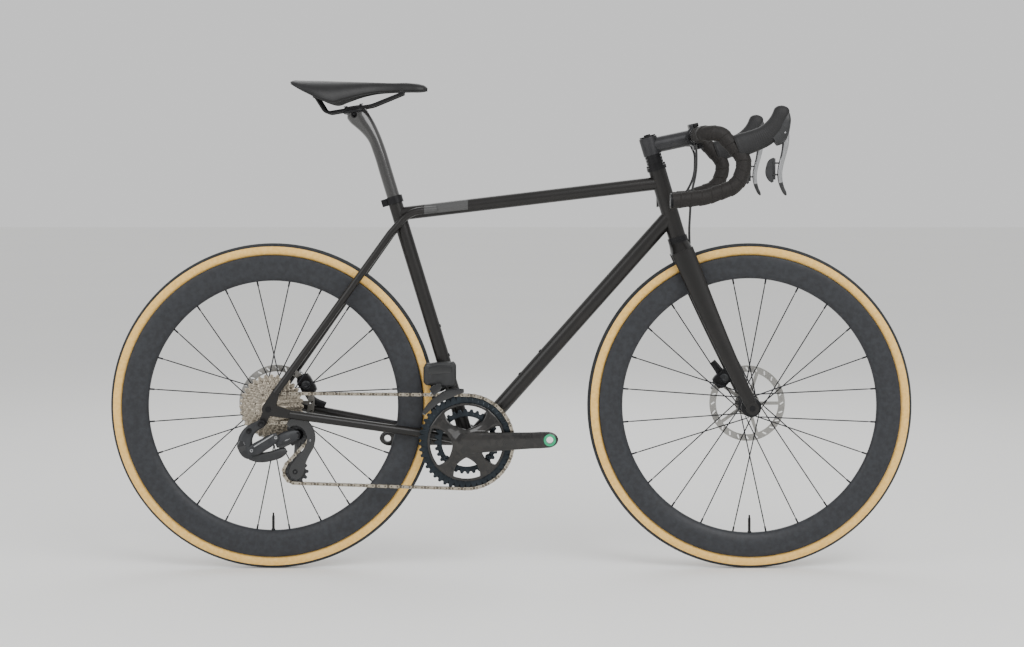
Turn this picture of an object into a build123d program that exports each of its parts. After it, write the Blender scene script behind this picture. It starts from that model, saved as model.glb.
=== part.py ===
from build123d import *
from math import asin, atan2, cos, hypot, pi, radians, sin, sqrt, tan
import os

# Road bicycle with disc brakes and electronic derailleurs. Millimetres, +X forward,
# +Y to the rider's left, +Z up. The origin is on the ground, half way between the axles.

os.makedirs("parts", exist_ok=True)

# ---- driving dimensions -------------------------------------------------------------
wheelbase = 998.0
tyre_radius = 340.0
tyre_width = 28.0
chain_stay_length = 413.0
bottom_bracket_drop = 70.4
seat_angle = 73.0
head_angle = 73.5
fork_rake = 45.0
fork_length = 370.0           # front axle to crown race, along the steering axis
seat_tube_length = 532.0      # bottom bracket centre to the top of the collar
head_tube_length = 146.0
crank_length = 172.5
crank_rise = 2.2              # tilt of the right crank above level, in degrees

running_gap = 0.05            # radial clearance of every shaft in its bearing
seat_gap = 0.02               # clearance of pieces that are pushed together
side_gap = 0.3                # clearance beside pieces that turn

# ---- frame tubes --------------------------------------------------------------------
head_tube_radius = 18.3
head_tube_bore = 17.0
steerer_radius = 14.3
top_tube_radius = 14.0
down_tube_radius = 16.5
seat_tube_radius = 14.8
tube_wall = 1.6
seatpost_radius = 13.6
shell_radius = 22.0
shell_width = 68.0
shell_bore = 17.5
chain_stay_radius = 9.0
seat_stay_radius = 7.8
top_tube_below_collar = 39.0
top_tube_below_head_top = 28.0
down_tube_above_head_bottom = 47.0
down_tube_ahead_of_shell = 7.0
stay_half_gap = 27.5          # centre of each chain stay beside the tyre

# ---- wheels -------------------------------------------------------------------------
front_hub_width = 100.0
rear_hub_width = 135.0
axle_radius = 6.0
rim_outer_radius = 315.0
rim_half_width = 14.8
rim_wall = 2.2
front_rim_depth = 49.0
rear_rim_depth = 54.0
tyre_wall = 2.6
spoke_radius = 0.9
spoke_count = 24
nipple_radius = 2.0
nipple_length = 12.0
rotor_radius = 80.0
rotor_thickness = 1.8
front_rotor_y = 40.0
rear_rotor_y = 52.5

# ---- drive --------------------------------------------------------------------------
link_pitch = 12.7
big_teeth = 48
small_teeth = 32
cassette_teeth = [11, 12, 13, 14, 15, 16, 17, 19, 22, 25, 28, 32]
used_sprocket = 4             # the chain lies on the fifth sprocket from the outside
sprocket_spacing = 3.55
sprocket_thickness = 1.6
outer_sprocket_y = -64.2
pulley_teeth = 12
pulley_thickness = 2.0
big_ring_y = -47.5
small_ring_y = -40.5
ring_thickness = 2.0
chain_height = 8.4
chain_gap = 1.75              # half the space between the chain's two side plates
chain_plate = 0.8
spindle_radius = 12.0
arm_thickness = 14.0
arm_inner_y = 56.0

# ---- steering and cockpit -----------------------------------------------------------
lower_stack = 12.0
upper_stack = 13.0
spacer_stack = 20.0
stem_height = 38.0
stem_length = 96.0
stem_rise = 12.0              # degrees above level
bar_clamp_radius = 15.9
bar_radius = 12.0
tape_radius = 15.8
bar_half_width = 210.0
hose_radius = 2.5

# ---- places worked out from the dimensions ------------------------------------------
rear_axle = Vector(-wheelbase / 2, 0, tyre_radius)
front_axle = Vector(wheelbase / 2, 0, tyre_radius)
stay_run = sqrt(chain_stay_length**2 - bottom_bracket_drop**2)
crank_centre = Vector(rear_axle.X + stay_run, 0, tyre_radius - bottom_bracket_drop)

seat_axis = Vector(-cos(radians(seat_angle)), 0, sin(radians(seat_angle)))
steer_axis = Vector(-cos(radians(head_angle)), 0, sin(radians(head_angle)))
steer_front = Vector(sin(radians(head_angle)), 0, cos(radians(head_angle)))
steer_foot = front_axle - steer_front * fork_rake
collar_top = crank_centre + seat_axis * seat_tube_length
head_bottom_at = fork_length + lower_stack
head_top_at = head_bottom_at + head_tube_length
stem_bottom_at = head_top_at + upper_stack + spacer_stack
side = Vector(0, 1, 0)


def on_steerer(along, ahead=0, y=0):
    """A point by its distance up the steering axis and ahead of it."""
    return steer_foot + steer_axis * along + steer_front * ahead + side * y


def on_seat_axis(along, ahead=0, y=0):
    """A point by its distance up the seat tube's axis and ahead of it."""
    seat_front = Vector(sin(radians(seat_angle)), 0, cos(radians(seat_angle)))
    return crank_centre + seat_axis * along + seat_front * ahead + side * y


def at_y(y):
    """A side-view plane, drawn in X and Z, at the given distance to the left."""
    return Plane.XZ.offset(-y)


def turning_plane(centre):
    """A plane through a cross axle, drawn as distance to the left and radius."""
    return Plane(origin=(centre.X, 0, centre.Z), x_dir=(0, 1, 0), z_dir=(1, 0, 0))


def cross_axis(centre):
    return Axis((centre.X, 0, centre.Z), (0, 1, 0))


def keep(piece, label):
    """Label a finished piece and write its file."""
    piece.part.label = label
    export_step(piece.part, f"parts/{label}.step")


def rod(start, end, radius):
    """A plain round bar between two points."""
    run = end - start
    with BuildPart() as bar:
        with BuildSketch(Plane(origin=start, z_dir=run)):
            Circle(radius)
        extrude(amount=run.length)
    return bar.part


def swept_rod(points, radii, radius, bore=0.0):
    """A round bar or tube along straight runs joined by tangent arcs."""
    with BuildPart() as bar:
        with BuildLine() as route:
            FilletPolyline(*points, radius=radii)
        with BuildSketch(Plane(origin=route.line @ 0, z_dir=route.line % 0)):
            Circle(radius)
            if bore:
                Circle(bore, mode=Mode.SUBTRACT)
        sweep(path=route.line)
    return bar.part


def disc(centre, radius, y_from, y_to):
    """A round plate across the bicycle between two distances to the left."""
    with BuildPart() as plate:
        with BuildSketch(at_y(y_to)):
            with Locations((centre.X, centre.Z)):
                Circle(radius)
        extrude(amount=y_to - y_from)
    return plate.part


def side_plate(outline, y_from, y_to):
    """A flat plate with a straight-sided side outline."""
    with BuildPart() as plate:
        with BuildSketch(at_y(y_to)):
            Polygon(*outline, align=None)
        extrude(amount=y_to - y_from)
    return plate.part


def round_link(first, first_radius, second, second_radius, y_from, y_to):
    """A plate with two round ends, as a belt drawn tight round two discs."""
    with BuildPart() as link:
        with BuildSketch(at_y(y_to)):
            with BuildLine():
                CenterArc((first.X, first.Z), first_radius, 0, 360)
                CenterArc((second.X, second.Z), second_radius, 0, 360)
            make_hull()
        extrude(amount=y_to - y_from)
    return link.part


def mirrored(piece):
    return mirror(piece, about=Plane.XZ)


def join(*pieces):
    """One solid from several that overlap."""
    with BuildPart() as whole:
        for piece in pieces:
            add(piece)
    return whole.part


# ---- frame --------------------------------------------------------------------------
head_top = on_steerer(head_top_at)
head_bottom = on_steerer(head_bottom_at)
top_tube_rear = crank_centre + seat_axis * (seat_tube_length - top_tube_below_collar)
top_tube_front = on_steerer(head_top_at - top_tube_below_head_top)
down_tube_front = on_steerer(head_bottom_at + down_tube_above_head_bottom)
down_run = (down_tube_front - crank_centre).normalized()
down_normal = Vector(down_run.Z, 0, -down_run.X)
down_tube_rear = crank_centre + down_normal * down_tube_ahead_of_shell
down_run = (down_tube_front - down_tube_rear).normalized()
down_up = Vector(-down_run.Z, 0, down_run.X)

head_outside = rod(head_bottom, head_top, head_tube_radius)
seat_outside = rod(crank_centre, collar_top, seat_tube_radius)
seat_bore = rod(crank_centre, collar_top + seat_axis * 5, seatpost_radius + running_gap)
top_outside = rod(top_tube_rear, top_tube_front, top_tube_radius)
down_outside = rod(down_tube_rear, down_tube_front, down_tube_radius)
shell_outside = disc(crank_centre, shell_radius, -shell_width / 2, shell_width / 2)
shell_hole = disc(crank_centre, shell_bore, -shell_width / 2 - 1, shell_width / 2 + 1)

with BuildPart() as head_tube:
    add(head_outside)
    add(rod(head_bottom, head_top, head_tube_bore), mode=Mode.SUBTRACT)
keep(head_tube, "head_tube")

# bottle cage bosses: two on the seat tube and two on the down tube, 64 mm apart
boss_spacing = 64.0
boss_radius = 4.5
boss_bore = 2.1
boss_height = 1.2
seat_boss_along = [180.0, 180.0 + boss_spacing]
down_boss_along = [175.0, 175.0 + boss_spacing]


seat_forward = Vector(sin(radians(seat_angle)), 0, cos(radians(seat_angle)))
boss_seats = [(on_seat_axis(a, seat_tube_radius), seat_forward) for a in seat_boss_along]
boss_seats += [(down_tube_rear + down_run * a + down_up * down_tube_radius, down_up)
               for a in down_boss_along]
boss_depth = 4.0
boss_holes = [rod(p - n * boss_depth, p + n, boss_radius - 1) for p, n in boss_seats]

with BuildPart() as seat_tube:
    add(seat_outside)
    add(shell_outside)
    add(seat_bore, mode=Mode.SUBTRACT)
    add(shell_hole, mode=Mode.SUBTRACT)
    for hole in boss_holes[:2]:
        add(hole, mode=Mode.SUBTRACT)
keep(seat_tube, "seat_tube")

with BuildPart() as top_tube:
    add(top_outside)
    add(rod(top_tube_rear, top_tube_front, top_tube_radius - tube_wall), mode=Mode.SUBTRACT)
    add(head_outside, mode=Mode.SUBTRACT)
    add(seat_outside, mode=Mode.SUBTRACT)
keep(top_tube, "top_tube")

with BuildPart() as down_tube:
    add(down_outside)
    add(rod(down_tube_rear, down_tube_front, down_tube_radius - tube_wall), mode=Mode.SUBTRACT)
    add(head_outside, mode=Mode.SUBTRACT)
    add(shell_outside, mode=Mode.SUBTRACT)
    add(seat_outside, mode=Mode.SUBTRACT)
    for hole in boss_holes[2:]:
        add(hole, mode=Mode.SUBTRACT)
keep(down_tube, "down_tube")

with BuildPart() as bottle_bosses:
    for seat, outward in boss_seats:
        add(rod(seat - outward * boss_depth, seat + outward * boss_height, boss_radius - 1))
        add(rod(seat - outward * (boss_depth + 1), seat + outward * 3, boss_bore),
            mode=Mode.SUBTRACT)
keep(bottle_bosses, "bottle_bosses")

# rear end: chain stays, seat stays, dropouts
dropout_inner_y = rear_hub_width / 2
dropout_thickness = 7.0
dropout_mid_y = dropout_inner_y + dropout_thickness / 2
stay_line = (crank_centre - rear_axle).normalized()
stay_up = Vector(-stay_line.Z, 0, stay_line.X)
chain_stay_end = rear_axle + stay_line * 44 - stay_up * 3 + side * dropout_mid_y
chain_stay_points = [
    chain_stay_end,
    rear_axle + stay_line * 300 - stay_up * 1 + side * stay_half_gap,
    crank_centre - stay_line * 10 + side * stay_half_gap,
]
seat_stay_slope = Vector(cos(radians(55.8)), 0, sin(radians(55.8)))
seat_stay_end = rear_axle + seat_stay_slope * 40 - Vector(8, 0, 0) + side * dropout_mid_y
stay_shoulder = rear_axle + seat_stay_slope * 436 + Vector(2, 0, 0) + side * 21
stay_beside_tube = top_tube_rear + Vector(24, 16.5, 5)
stay_inside_tube = top_tube_rear + Vector(80, 9, 10)
seat_stay_points = [seat_stay_end, stay_shoulder, stay_beside_tube, stay_inside_tube]
chain_stay_bar = swept_rod(chain_stay_points, 160, chain_stay_radius)
seat_stay_bar = swept_rod(seat_stay_points, [34, 60], seat_stay_radius)

hanger_bolt = rear_axle + Vector(-12, 0, -28)
dropout_eye = 13.0
dropout_right = join(
    round_link(rear_axle, dropout_eye, rear_axle + stay_line * 47 - stay_up * 3, 8.5,
               -dropout_inner_y - dropout_thickness, -dropout_inner_y),
    round_link(rear_axle, dropout_eye, seat_stay_end + seat_stay_slope * 4, 7.5,
               -dropout_inner_y - dropout_thickness, -dropout_inner_y))
axle_hole = disc(rear_axle, axle_radius + seat_gap, -100, 100)
hanger_arm = round_link(rear_axle, 9, hanger_bolt, 8,
                        -dropout_inner_y - dropout_thickness, -dropout_inner_y)

with BuildPart() as chain_stays:
    for bar, plate in ((mirrored(chain_stay_bar), dropout_right),
                       (chain_stay_bar, mirrored(dropout_right))):
        add(bar)
        add(plate, mode=Mode.SUBTRACT)
    add(disc(crank_centre, shell_radius, -60, 60), mode=Mode.SUBTRACT)
    add(seat_outside, mode=Mode.SUBTRACT)
keep(chain_stays, "chain_stays")

with BuildPart() as seat_stays:
    for bar, plate in ((mirrored(seat_stay_bar), dropout_right),
                       (seat_stay_bar, mirrored(dropout_right))):
        add(bar)
        add(plate, mode=Mode.SUBTRACT)
    add(top_outside, mode=Mode.SUBTRACT)
    add(seat_outside, mode=Mode.SUBTRACT)
keep(seat_stays, "seat_stays")

# the derailleur hanger is a bolted plate below the right dropout
hanger_bolt_radius = 4.0
with BuildPart() as derailleur_hanger:
    add(hanger_arm)
    add(disc(hanger_bolt, hanger_bolt_radius + running_gap, -100, 0), mode=Mode.SUBTRACT)
    add(dropout_right, mode=Mode.SUBTRACT)
    add(disc(rear_axle, dropout_eye, -100, 0), mode=Mode.SUBTRACT)

with BuildPart() as dropouts:
    add(dropout_right)
    add(mirrored(dropout_right))
    add(axle_hole, mode=Mode.SUBTRACT)
    add(derailleur_hanger.part)
keep(dropouts, "dropouts")

with BuildPart() as rear_thru_axle:
    add(disc(rear_axle, axle_radius, -dropout_inner_y - dropout_thickness - 1,
             dropout_inner_y + dropout_thickness + 1))
    add(disc(rear_axle, 9.0, dropout_inner_y + dropout_thickness,
             dropout_inner_y + dropout_thickness + 5))
    add(disc(rear_axle, 3.0, dropout_inner_y + dropout_thickness + 1, 100), mode=Mode.SUBTRACT)
keep(rear_thru_axle, "rear_thru_axle")

# bottom bracket cups with their bearings, one each side of the shell
cup_flange_y = shell_width / 2
cup_flange_width = 5.0
cup_depth = 16.0
with BuildPart() as bottom_bracket_cups:
    for y in (-1, 1):
        flange = sorted((y * cup_flange_y, y * (cup_flange_y + cup_flange_width)))
        thread = sorted((y * cup_flange_y, y * (cup_flange_y - cup_depth)))
        add(disc(crank_centre, shell_radius - 0.5, *flange))
        add(disc(crank_centre, shell_bore - seat_gap, *thread))
    add(disc(crank_centre, spindle_radius + running_gap, -50, 50), mode=Mode.SUBTRACT)
keep(bottom_bracket_cups, "bottom_bracket_cups")

# headset: pressed cups, their bearings and the sliding cover above
cup_radius = 20.8
cup_insert = 10.0
race_height = 4.0
with BuildPart() as headset_cups:
    for flange_from, flange_to, insert_to in (
            (fork_length + race_height + side_gap, head_bottom_at, head_bottom_at + cup_insert),
            (head_top_at + 8, head_top_at, head_top_at - cup_insert)):
        add(rod(on_steerer(flange_from), on_steerer(flange_to), cup_radius))
        add(rod(on_steerer(flange_to), on_steerer(insert_to), head_tube_bore - seat_gap))
    add(rod(on_steerer(fork_length - 1), on_steerer(stem_bottom_at), steerer_radius + running_gap),
        mode=Mode.SUBTRACT)
keep(headset_cups, "headset_cups")

race_lip = 0.4
with BuildPart() as headset_spacers:
    add(rod(on_steerer(fork_length), on_steerer(fork_length + race_height), cup_radius))
    cover_from = head_top_at + 8 + side_gap
    add(rod(on_steerer(cover_from), on_steerer(head_top_at + upper_stack - race_lip),
            cup_radius - 0.5))
    spacer_height = spacer_stack / 3
    for index in range(3):
        low = head_top_at + upper_stack + index * spacer_height
        add(rod(on_steerer(low), on_steerer(low + spacer_height - race_lip), 17.5))
    add(rod(on_steerer(fork_length - 1), on_steerer(stem_bottom_at), steerer_radius + seat_gap),
        mode=Mode.SUBTRACT)
    cap_at = stem_bottom_at + stem_height
    add(rod(on_steerer(cap_at), on_steerer(cap_at + 3), 17.0))
    add(rod(on_steerer(cap_at + 3), on_steerer(cap_at + 6), 7.0))
keep(headset_spacers, "headset_spacers")

# seat clamp: a split collar with ears and a cross bolt behind the tube
collar_height = 15.0
collar_radius = seat_tube_radius + 3.2
collar_base = seat_tube_length - collar_height - 1
with BuildPart() as seat_clamp:
    add(rod(on_seat_axis(collar_base), on_seat_axis(seat_tube_length - 1), collar_radius))
    with BuildSketch(Plane(origin=on_seat_axis(collar_base), x_dir=(0, 1, 0),
                           z_dir=seat_axis)):
        with Locations((0, collar_radius + 2.5)):
            Rectangle(18, 13)
    extrude(amount=collar_height)
    with BuildSketch(Plane(origin=on_seat_axis(collar_base), x_dir=(0, 1, 0),
                           z_dir=seat_axis)):
        with Locations((0, collar_radius)):
            Rectangle(2.0, 20)
    extrude(amount=collar_height, mode=Mode.SUBTRACT)
    add(seat_outside, mode=Mode.SUBTRACT)
    ear_bolt = on_seat_axis(collar_base + collar_height / 2, -collar_radius - 4)
    add(disc(ear_bolt, 2.55, -20, 20), mode=Mode.SUBTRACT)
    add(disc(ear_bolt, 2.5, -9, 11))
    add(disc(ear_bolt, 4.2, 9 + seat_gap, 13))
keep(seat_clamp, "seat_clamp")

# ---- seat ---------------------------------------------------------------------------
post_insert = 150.0
rail_spread = 22.0
rail_radius = 3.5
post_bottom = on_seat_axis(seat_tube_length - post_insert)
post_bend = on_seat_axis(seat_tube_length + 125)
clamp_x = collar_top.X - 82.3
clamp_centre = Vector(clamp_x, 0, post_bend.Z + 63)
rail_slope = Vector(cos(radians(9.6)), 0, sin(radians(9.6)))
rail_normal = Vector(-rail_slope.Z, 0, rail_slope.X)
clamp_length = 42.0
post_head = clamp_centre - rail_normal * 12

post_bar = swept_rod([post_bottom, post_bend, post_head], 60, seatpost_radius)


def rail_block(low, high, length, half_width):
    """A block lying along the rails, between two heights above their centre."""
    with BuildPart() as block:
        with BuildSketch(Plane(origin=clamp_centre + rail_normal * low, x_dir=(0, 1, 0),
                               z_dir=rail_normal)):
            RectangleRounded(2 * half_width, length, 5)
        extrude(amount=high - low)
    return block.part


rail_points = [clamp_centre + Vector(-78, 30, 26), clamp_centre + Vector(-56, 24, -9.5),
               clamp_centre + Vector(0, rail_spread, 0) - rail_slope * 16,
               clamp_centre + Vector(0, rail_spread, 0) + rail_slope * 40,
               clamp_centre + Vector(104, 17, 33)]
rail_left = swept_rod(rail_points, [16, 60, 60], rail_radius)

with BuildPart() as saddle_rails:
    add(rail_left)
    add(mirrored(rail_left))
keep(saddle_rails, "saddle_rails")

with BuildPart() as seatpost:
    add(post_bar)
    add(disc(post_head - rail_normal * 1, 9, -17, 17))
    add(rail_block(-8, 40, 80, 60), mode=Mode.SUBTRACT)
    add(rail_block(-8, -0.4, clamp_length, rail_spread + 6))
    add(rail_block(0.4, 6.5, clamp_length - 6, rail_spread + 6))
    for rail in (rail_left, mirrored(rail_left)):
        add(rail, mode=Mode.SUBTRACT)
keep(seatpost, "seatpost")

# saddle: one shaped body, parted into the padded cover above and the shell below
saddle_length = 281.0
saddle_nose = clamp_centre.X + 154
saddle_top = clamp_centre.Z + 60.0
saddle_stations = [
    # from the nose back, half width, top below the highest line, bottom below the top
    (0.0, 10.0, 15.0, 7.0),
    (14.0, 18.0, 11.0, 15.0),
    (60.0, 20.0, 5.0, 20.0),
    (115.0, 27.0, 2.5, 26.0),
    (165.0, 47.0, 2.0, 37.0),
    (205.0, 67.0, 1.0, 42.0),
    (245.0, 69.0, 0.0, 34.0),
    (270.0, 60.0, 0.5, 22.0),
    (saddle_length, 44.0, 3.0, 11.0),
]
with BuildPart() as saddle_body:
    for back, half_width, drop, depth in saddle_stations:
        station = Plane(origin=(saddle_nose - back, 0, saddle_top - drop - depth / 2),
                        x_dir=(0, 1, 0), z_dir=(1, 0, 0))
        with BuildSketch(station):
            RectangleRounded(2 * half_width, depth, 0.46 * min(depth, 2 * half_width))
    loft()

shell_plane = Plane(origin=(saddle_nose, 0, saddle_top - 17),
                    x_dir=(cos(radians(3)), 0, -sin(radians(3))),
                    z_dir=(sin(radians(3)), 0, cos(radians(3))))
with BuildPart() as saddle_cover:
    add(saddle_body.part)
    split(bisect_by=shell_plane, keep=Keep.TOP)
keep(saddle_cover, "saddle_cover")

shell_skin = 3.0
with BuildPart() as saddle_hollow:
    for back, half_width, drop, depth in saddle_stations[1:-1]:
        station = Plane(origin=(saddle_nose - back, 0, saddle_top - drop - depth / 2 - 8),
                        x_dir=(0, 1, 0), z_dir=(1, 0, 0))
        with BuildSketch(station):
            Rectangle(2 * half_width - 4 * shell_skin, depth)
    loft()
with BuildPart() as saddle_shell:
    add(saddle_body.part)
    split(bisect_by=shell_plane, keep=Keep.BOTTOM)
    with Locations(Location((0, 0, -shell_skin))):
        add(saddle_hollow.part, mode=Mode.SUBTRACT)
    for rail in (rail_left, mirrored(rail_left)):
        add(rail, mode=Mode.SUBTRACT)
keep(saddle_shell, "saddle_shell")

# ---- fork and steering --------------------------------------------------------------
fork_inner_y = front_hub_width / 2
fork_tip_thickness = 11.0
tip_mid_y = fork_inner_y + fork_tip_thickness / 2
tip_radius = 13.5
blade_stations = [
    # along the steering axis, ahead of it, to the side, fore-aft width, thickness
    (fork_length - 18, 0.0, 31.0, 48.0, 20.0),
    (300.0, 6.0, 33.0, 45.0, 19.0),
    (178.0, 20.0, 42.0, 36.0, 16.0),
    (80.0, 33.5, 51.0, 29.0, 13.0),
    (4.0, 44.4, tip_mid_y, 24.0, fork_tip_thickness - 1),
]
with BuildPart() as blade:
    for along, ahead, y, width, thickness in blade_stations:
        slope = Plane(origin=on_steerer(along, ahead, y), x_dir=(0, 1, 0),
                      z_dir=steer_axis - steer_front * 0.12)
        with BuildSketch(slope):
            Ellipse(thickness / 2, width / 2)
    loft()

crown_low = fork_length - 22
with BuildPart() as crown:
    with BuildSketch(Plane(origin=on_steerer(crown_low, 1), x_dir=(0, 1, 0),
                           z_dir=steer_axis)):
        RectangleRounded(82, 48, 19)
    with BuildSketch(Plane(origin=on_steerer(fork_length), x_dir=(0, 1, 0),
                           z_dir=steer_axis)):
        Circle(cup_radius)
    loft()

tip_right = disc(front_axle, tip_radius, -fork_inner_y - fork_tip_thickness, -fork_inner_y)
with BuildPart() as fork:
    add(crown.part)
    add(blade.part)
    add(mirrored(blade.part))
    add(tip_right)
    add(mirrored(tip_right))
    add(disc(front_axle, 22, -fork_inner_y, fork_inner_y), mode=Mode.SUBTRACT)
    add(disc(front_axle, axle_radius + seat_gap, -100, 100), mode=Mode.SUBTRACT)
    add(rod(on_steerer(fork_length - 4), on_steerer(stem_bottom_at + stem_height - 1),
            steerer_radius))
    add(rod(on_steerer(fork_length), on_steerer(stem_bottom_at + stem_height + 1),
            steerer_radius - 3), mode=Mode.SUBTRACT)
keep(fork, "fork")

with BuildPart() as front_thru_axle:
    add(disc(front_axle, axle_radius, -fork_inner_y - fork_tip_thickness - 1,
             fork_inner_y + fork_tip_thickness + 1))
    add(disc(front_axle, 9.0, fork_inner_y + fork_tip_thickness,
             fork_inner_y + fork_tip_thickness + 5))
    add(disc(front_axle, 3.0, fork_inner_y + fork_tip_thickness + 1, 100), mode=Mode.SUBTRACT)
keep(front_thru_axle, "front_thru_axle")

# stem: steerer clamp, extension and a bar clamp closed by a faceplate
stem_middle = on_steerer(stem_bottom_at + stem_height / 2)
stem_run = Vector(cos(radians(stem_rise)), 0, sin(radians(stem_rise)))
stem_up = Vector(-stem_run.Z, 0, stem_run.X)
bar_centre = stem_middle + stem_run * stem_length
clamp_width = 42.0
clamp_outer = bar_clamp_radius + 4.5
ear_reach = clamp_outer + 7
ear_depth = 9.0
face_gap = 1.0
bar_bolt_y = 13.0


def clamp_block(ahead_from, ahead_to, reach):
    """A block across the bar clamp, between two distances ahead of the bar."""
    middle = bar_centre + stem_run * ahead_from
    with BuildPart() as block:
        with BuildSketch(Plane(origin=middle, x_dir=(0, 1, 0), z_dir=stem_run)):
            RectangleRounded(clamp_width, 2 * reach, 4)
        extrude(amount=ahead_to - ahead_from)
    return block.part


bolt_rods = []
bolt_heads = []
bolt_holes = []
for y in (-bar_bolt_y, bar_bolt_y):
    for high in (-ear_reach + 4, ear_reach - 4):
        seat = bar_centre + stem_up * high + side * y
        bolt_rods.append(rod(seat - stem_run * 7, seat + stem_run * (ear_depth + 1), 2.5))
        bolt_heads.append(rod(seat + stem_run * (ear_depth - 2 + seat_gap),
                              seat + stem_run * (ear_depth + 2), 4.0))
        bolt_holes.append(rod(seat - stem_run * 12, seat + stem_run * 20, 2.5 + seat_gap))

bar_space = disc(bar_centre, bar_clamp_radius + seat_gap, -60, 60)
clamp_ring = disc(bar_centre, clamp_outer, -clamp_width / 2, clamp_width / 2)
steerer_space = rod(stem_middle - steer_axis * 60, stem_middle + steer_axis * 60,
                    steerer_radius + seat_gap)
with BuildPart() as stem:
    add(rod(on_steerer(stem_bottom_at), on_steerer(stem_bottom_at + stem_height - race_lip), 19.0))
    add(rod(stem_middle, bar_centre, 16.5))
    add(clamp_ring)
    add(clamp_block(-ear_depth, 0, ear_reach))
    add(clamp_block(-face_gap, 60, 60), mode=Mode.SUBTRACT)
    add(steerer_space, mode=Mode.SUBTRACT)
    add(bar_space, mode=Mode.SUBTRACT)
    for hole in bolt_holes:
        add(hole, mode=Mode.SUBTRACT)
keep(stem, "stem")

with BuildPart() as stem_faceplate:
    add(clamp_ring)
    add(clamp_block(0, ear_depth - 2, ear_reach))
    add(clamp_block(-60, face_gap, 60), mode=Mode.SUBTRACT)
    add(bar_space, mode=Mode.SUBTRACT)
    for hole in bolt_holes:
        add(hole, mode=Mode.SUBTRACT)
    for shank in bolt_rods:
        add(shank)
    for head in bolt_heads:
        add(head)
keep(stem_faceplate, "stem_faceplate")

# drop handlebar: one half is swept and mirrored; the centre swells to the clamp size
top_bend = bar_centre + side * bar_half_width
drop_points = [
    bar_centre,
    top_bend,
    top_bend + Vector(33, 0, 0),
    top_bend + Vector(83, 0, -53),
    top_bend + Vector(68, 0, -104),
    top_bend + Vector(4, 0, -127),
    top_bend + Vector(-62, 0, -134),
]
drop_radii = [20, 22, 34, 44, 60]
bar_wall = 2.4
sleeve_half = 45.0
grip_start = 62.0
half_bar = swept_rod(drop_points, drop_radii, bar_radius)
half_bore = swept_rod(drop_points, drop_radii, bar_radius - bar_wall)
half_tape = swept_rod(drop_points, drop_radii, tape_radius)
grip_cut = disc(bar_centre, 60, -1, grip_start)

with BuildPart() as handlebar:
    add(half_bar)
    add(mirrored(half_bar))
    add(disc(bar_centre, bar_clamp_radius, -sleeve_half, sleeve_half))
    add(half_bore, mode=Mode.SUBTRACT)
    add(mirrored(half_bore), mode=Mode.SUBTRACT)
    for y in (-1, 1):
        bar_end = Vector(drop_points[-1].X, y * drop_points[-1].Y, drop_points[-1].Z)
        add(rod(bar_end + Vector(-2, 0, 0), bar_end + Vector(-5, 0, 0), tape_radius - 0.3))
keep(handlebar, "handlebar")

with BuildPart() as left_tape:
    add(half_tape)
    add(half_bar, mode=Mode.SUBTRACT)
    add(grip_cut, mode=Mode.SUBTRACT)
with BuildPart() as bar_tape:
    add(left_tape.part)
    add(mirrored(left_tape.part))
keep(bar_tape, "bar_tape")

# brake and shift levers: a hard body on the bar, a rubber hood over it, lever and paddle
lever_y = bar_half_width
body_half = 11.0
hood_half = 17.5
lever_half = 6.5
lever_pivot = top_bend + Vector(159, 0, 1)
pivot_radius = 2.0
pocket_radius = 9.5
hood_outline = [(90, -54), (110, -38), (134, -30), (148, -20), (150, 0), (156, 12), (165, 24),
                (169, 42), (160, 54), (150, 55), (142, 52), (134, 40), (124, 20), (106, 8),
                (82, 4), (56, 2), (46, -6), (52, -30)]
body_outline = [(92, -44), (112, -30), (136, -22), (142, -8), (144, 14), (140, 34),
                (132, 18), (114, 4), (92, 0), (84, -12)]
lever_outline = [(168, 10), (169, -4), (165, -18), (161, -47), (155, -73), (155, -99),
                 (161, -116), (165, -123), (158, -122), (151, -103), (146, -90), (145, -64),
                 (152, -43), (151, -22), (152, -4), (157, 9)]


def from_bend(points):
    """Side outline measured from the corner of the bar."""
    return [(top_bend.X + x, top_bend.Z + z) for x, z in points]


def one_side(half_width, y_sign, outline):
    low, high = y_sign * lever_y - half_width, y_sign * lever_y + half_width
    return side_plate(from_bend(outline), low, high)


grip_right = mirrored(half_tape)
body_blank = one_side(body_half, -1, body_outline)
ear_links = [round_link(lever_pivot, 6.0, top_bend + Vector(138, 0, 4), 9.0, low, low + 3.5)
             for low in (-lever_y - body_half, -lever_y + body_half - 3.5)]
with BuildPart() as shifter_right:
    add(body_blank)
    add(disc(lever_pivot, pocket_radius, -lever_y - lever_half - side_gap,
             -lever_y + lever_half + side_gap), mode=Mode.SUBTRACT)
    for ear in ear_links:
        add(ear)
    add(disc(lever_pivot, pivot_radius, -lever_y - body_half, -lever_y + body_half))
    add(grip_right, mode=Mode.SUBTRACT)
with BuildPart() as shifter_bodies:
    add(shifter_right.part)
    add(mirrored(shifter_right.part))
keep(shifter_bodies, "shifter_bodies")

lever_sweep = side_plate(from_bend([(143, 30), (174, 16), (174, -130), (120, -130), (136, -60),
                                    (138, -24)]),
                         -lever_y - lever_half - 1.5, -lever_y + lever_half + 1.5)
with BuildPart() as hood_right:
    with BuildSketch(at_y(-lever_y + hood_half)):
        Polygon(*from_bend(hood_outline), align=None)
    extrude(amount=2 * hood_half)
    chamfer(hood_right.faces().filter_by(Axis.Y).edges(), 4)
    add(one_side(body_half + seat_gap, -1, body_outline), mode=Mode.SUBTRACT)
    for ear in ear_links:
        add(ear, mode=Mode.SUBTRACT)
    add(lever_sweep, mode=Mode.SUBTRACT)
    add(disc(lever_pivot, 7.5, -lever_y - body_half - 1, -lever_y + body_half + 1),
        mode=Mode.SUBTRACT)
    add(grip_right, mode=Mode.SUBTRACT)
with BuildPart() as hoods:
    add(hood_right.part)
    add(mirrored(hood_right.part))
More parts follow.
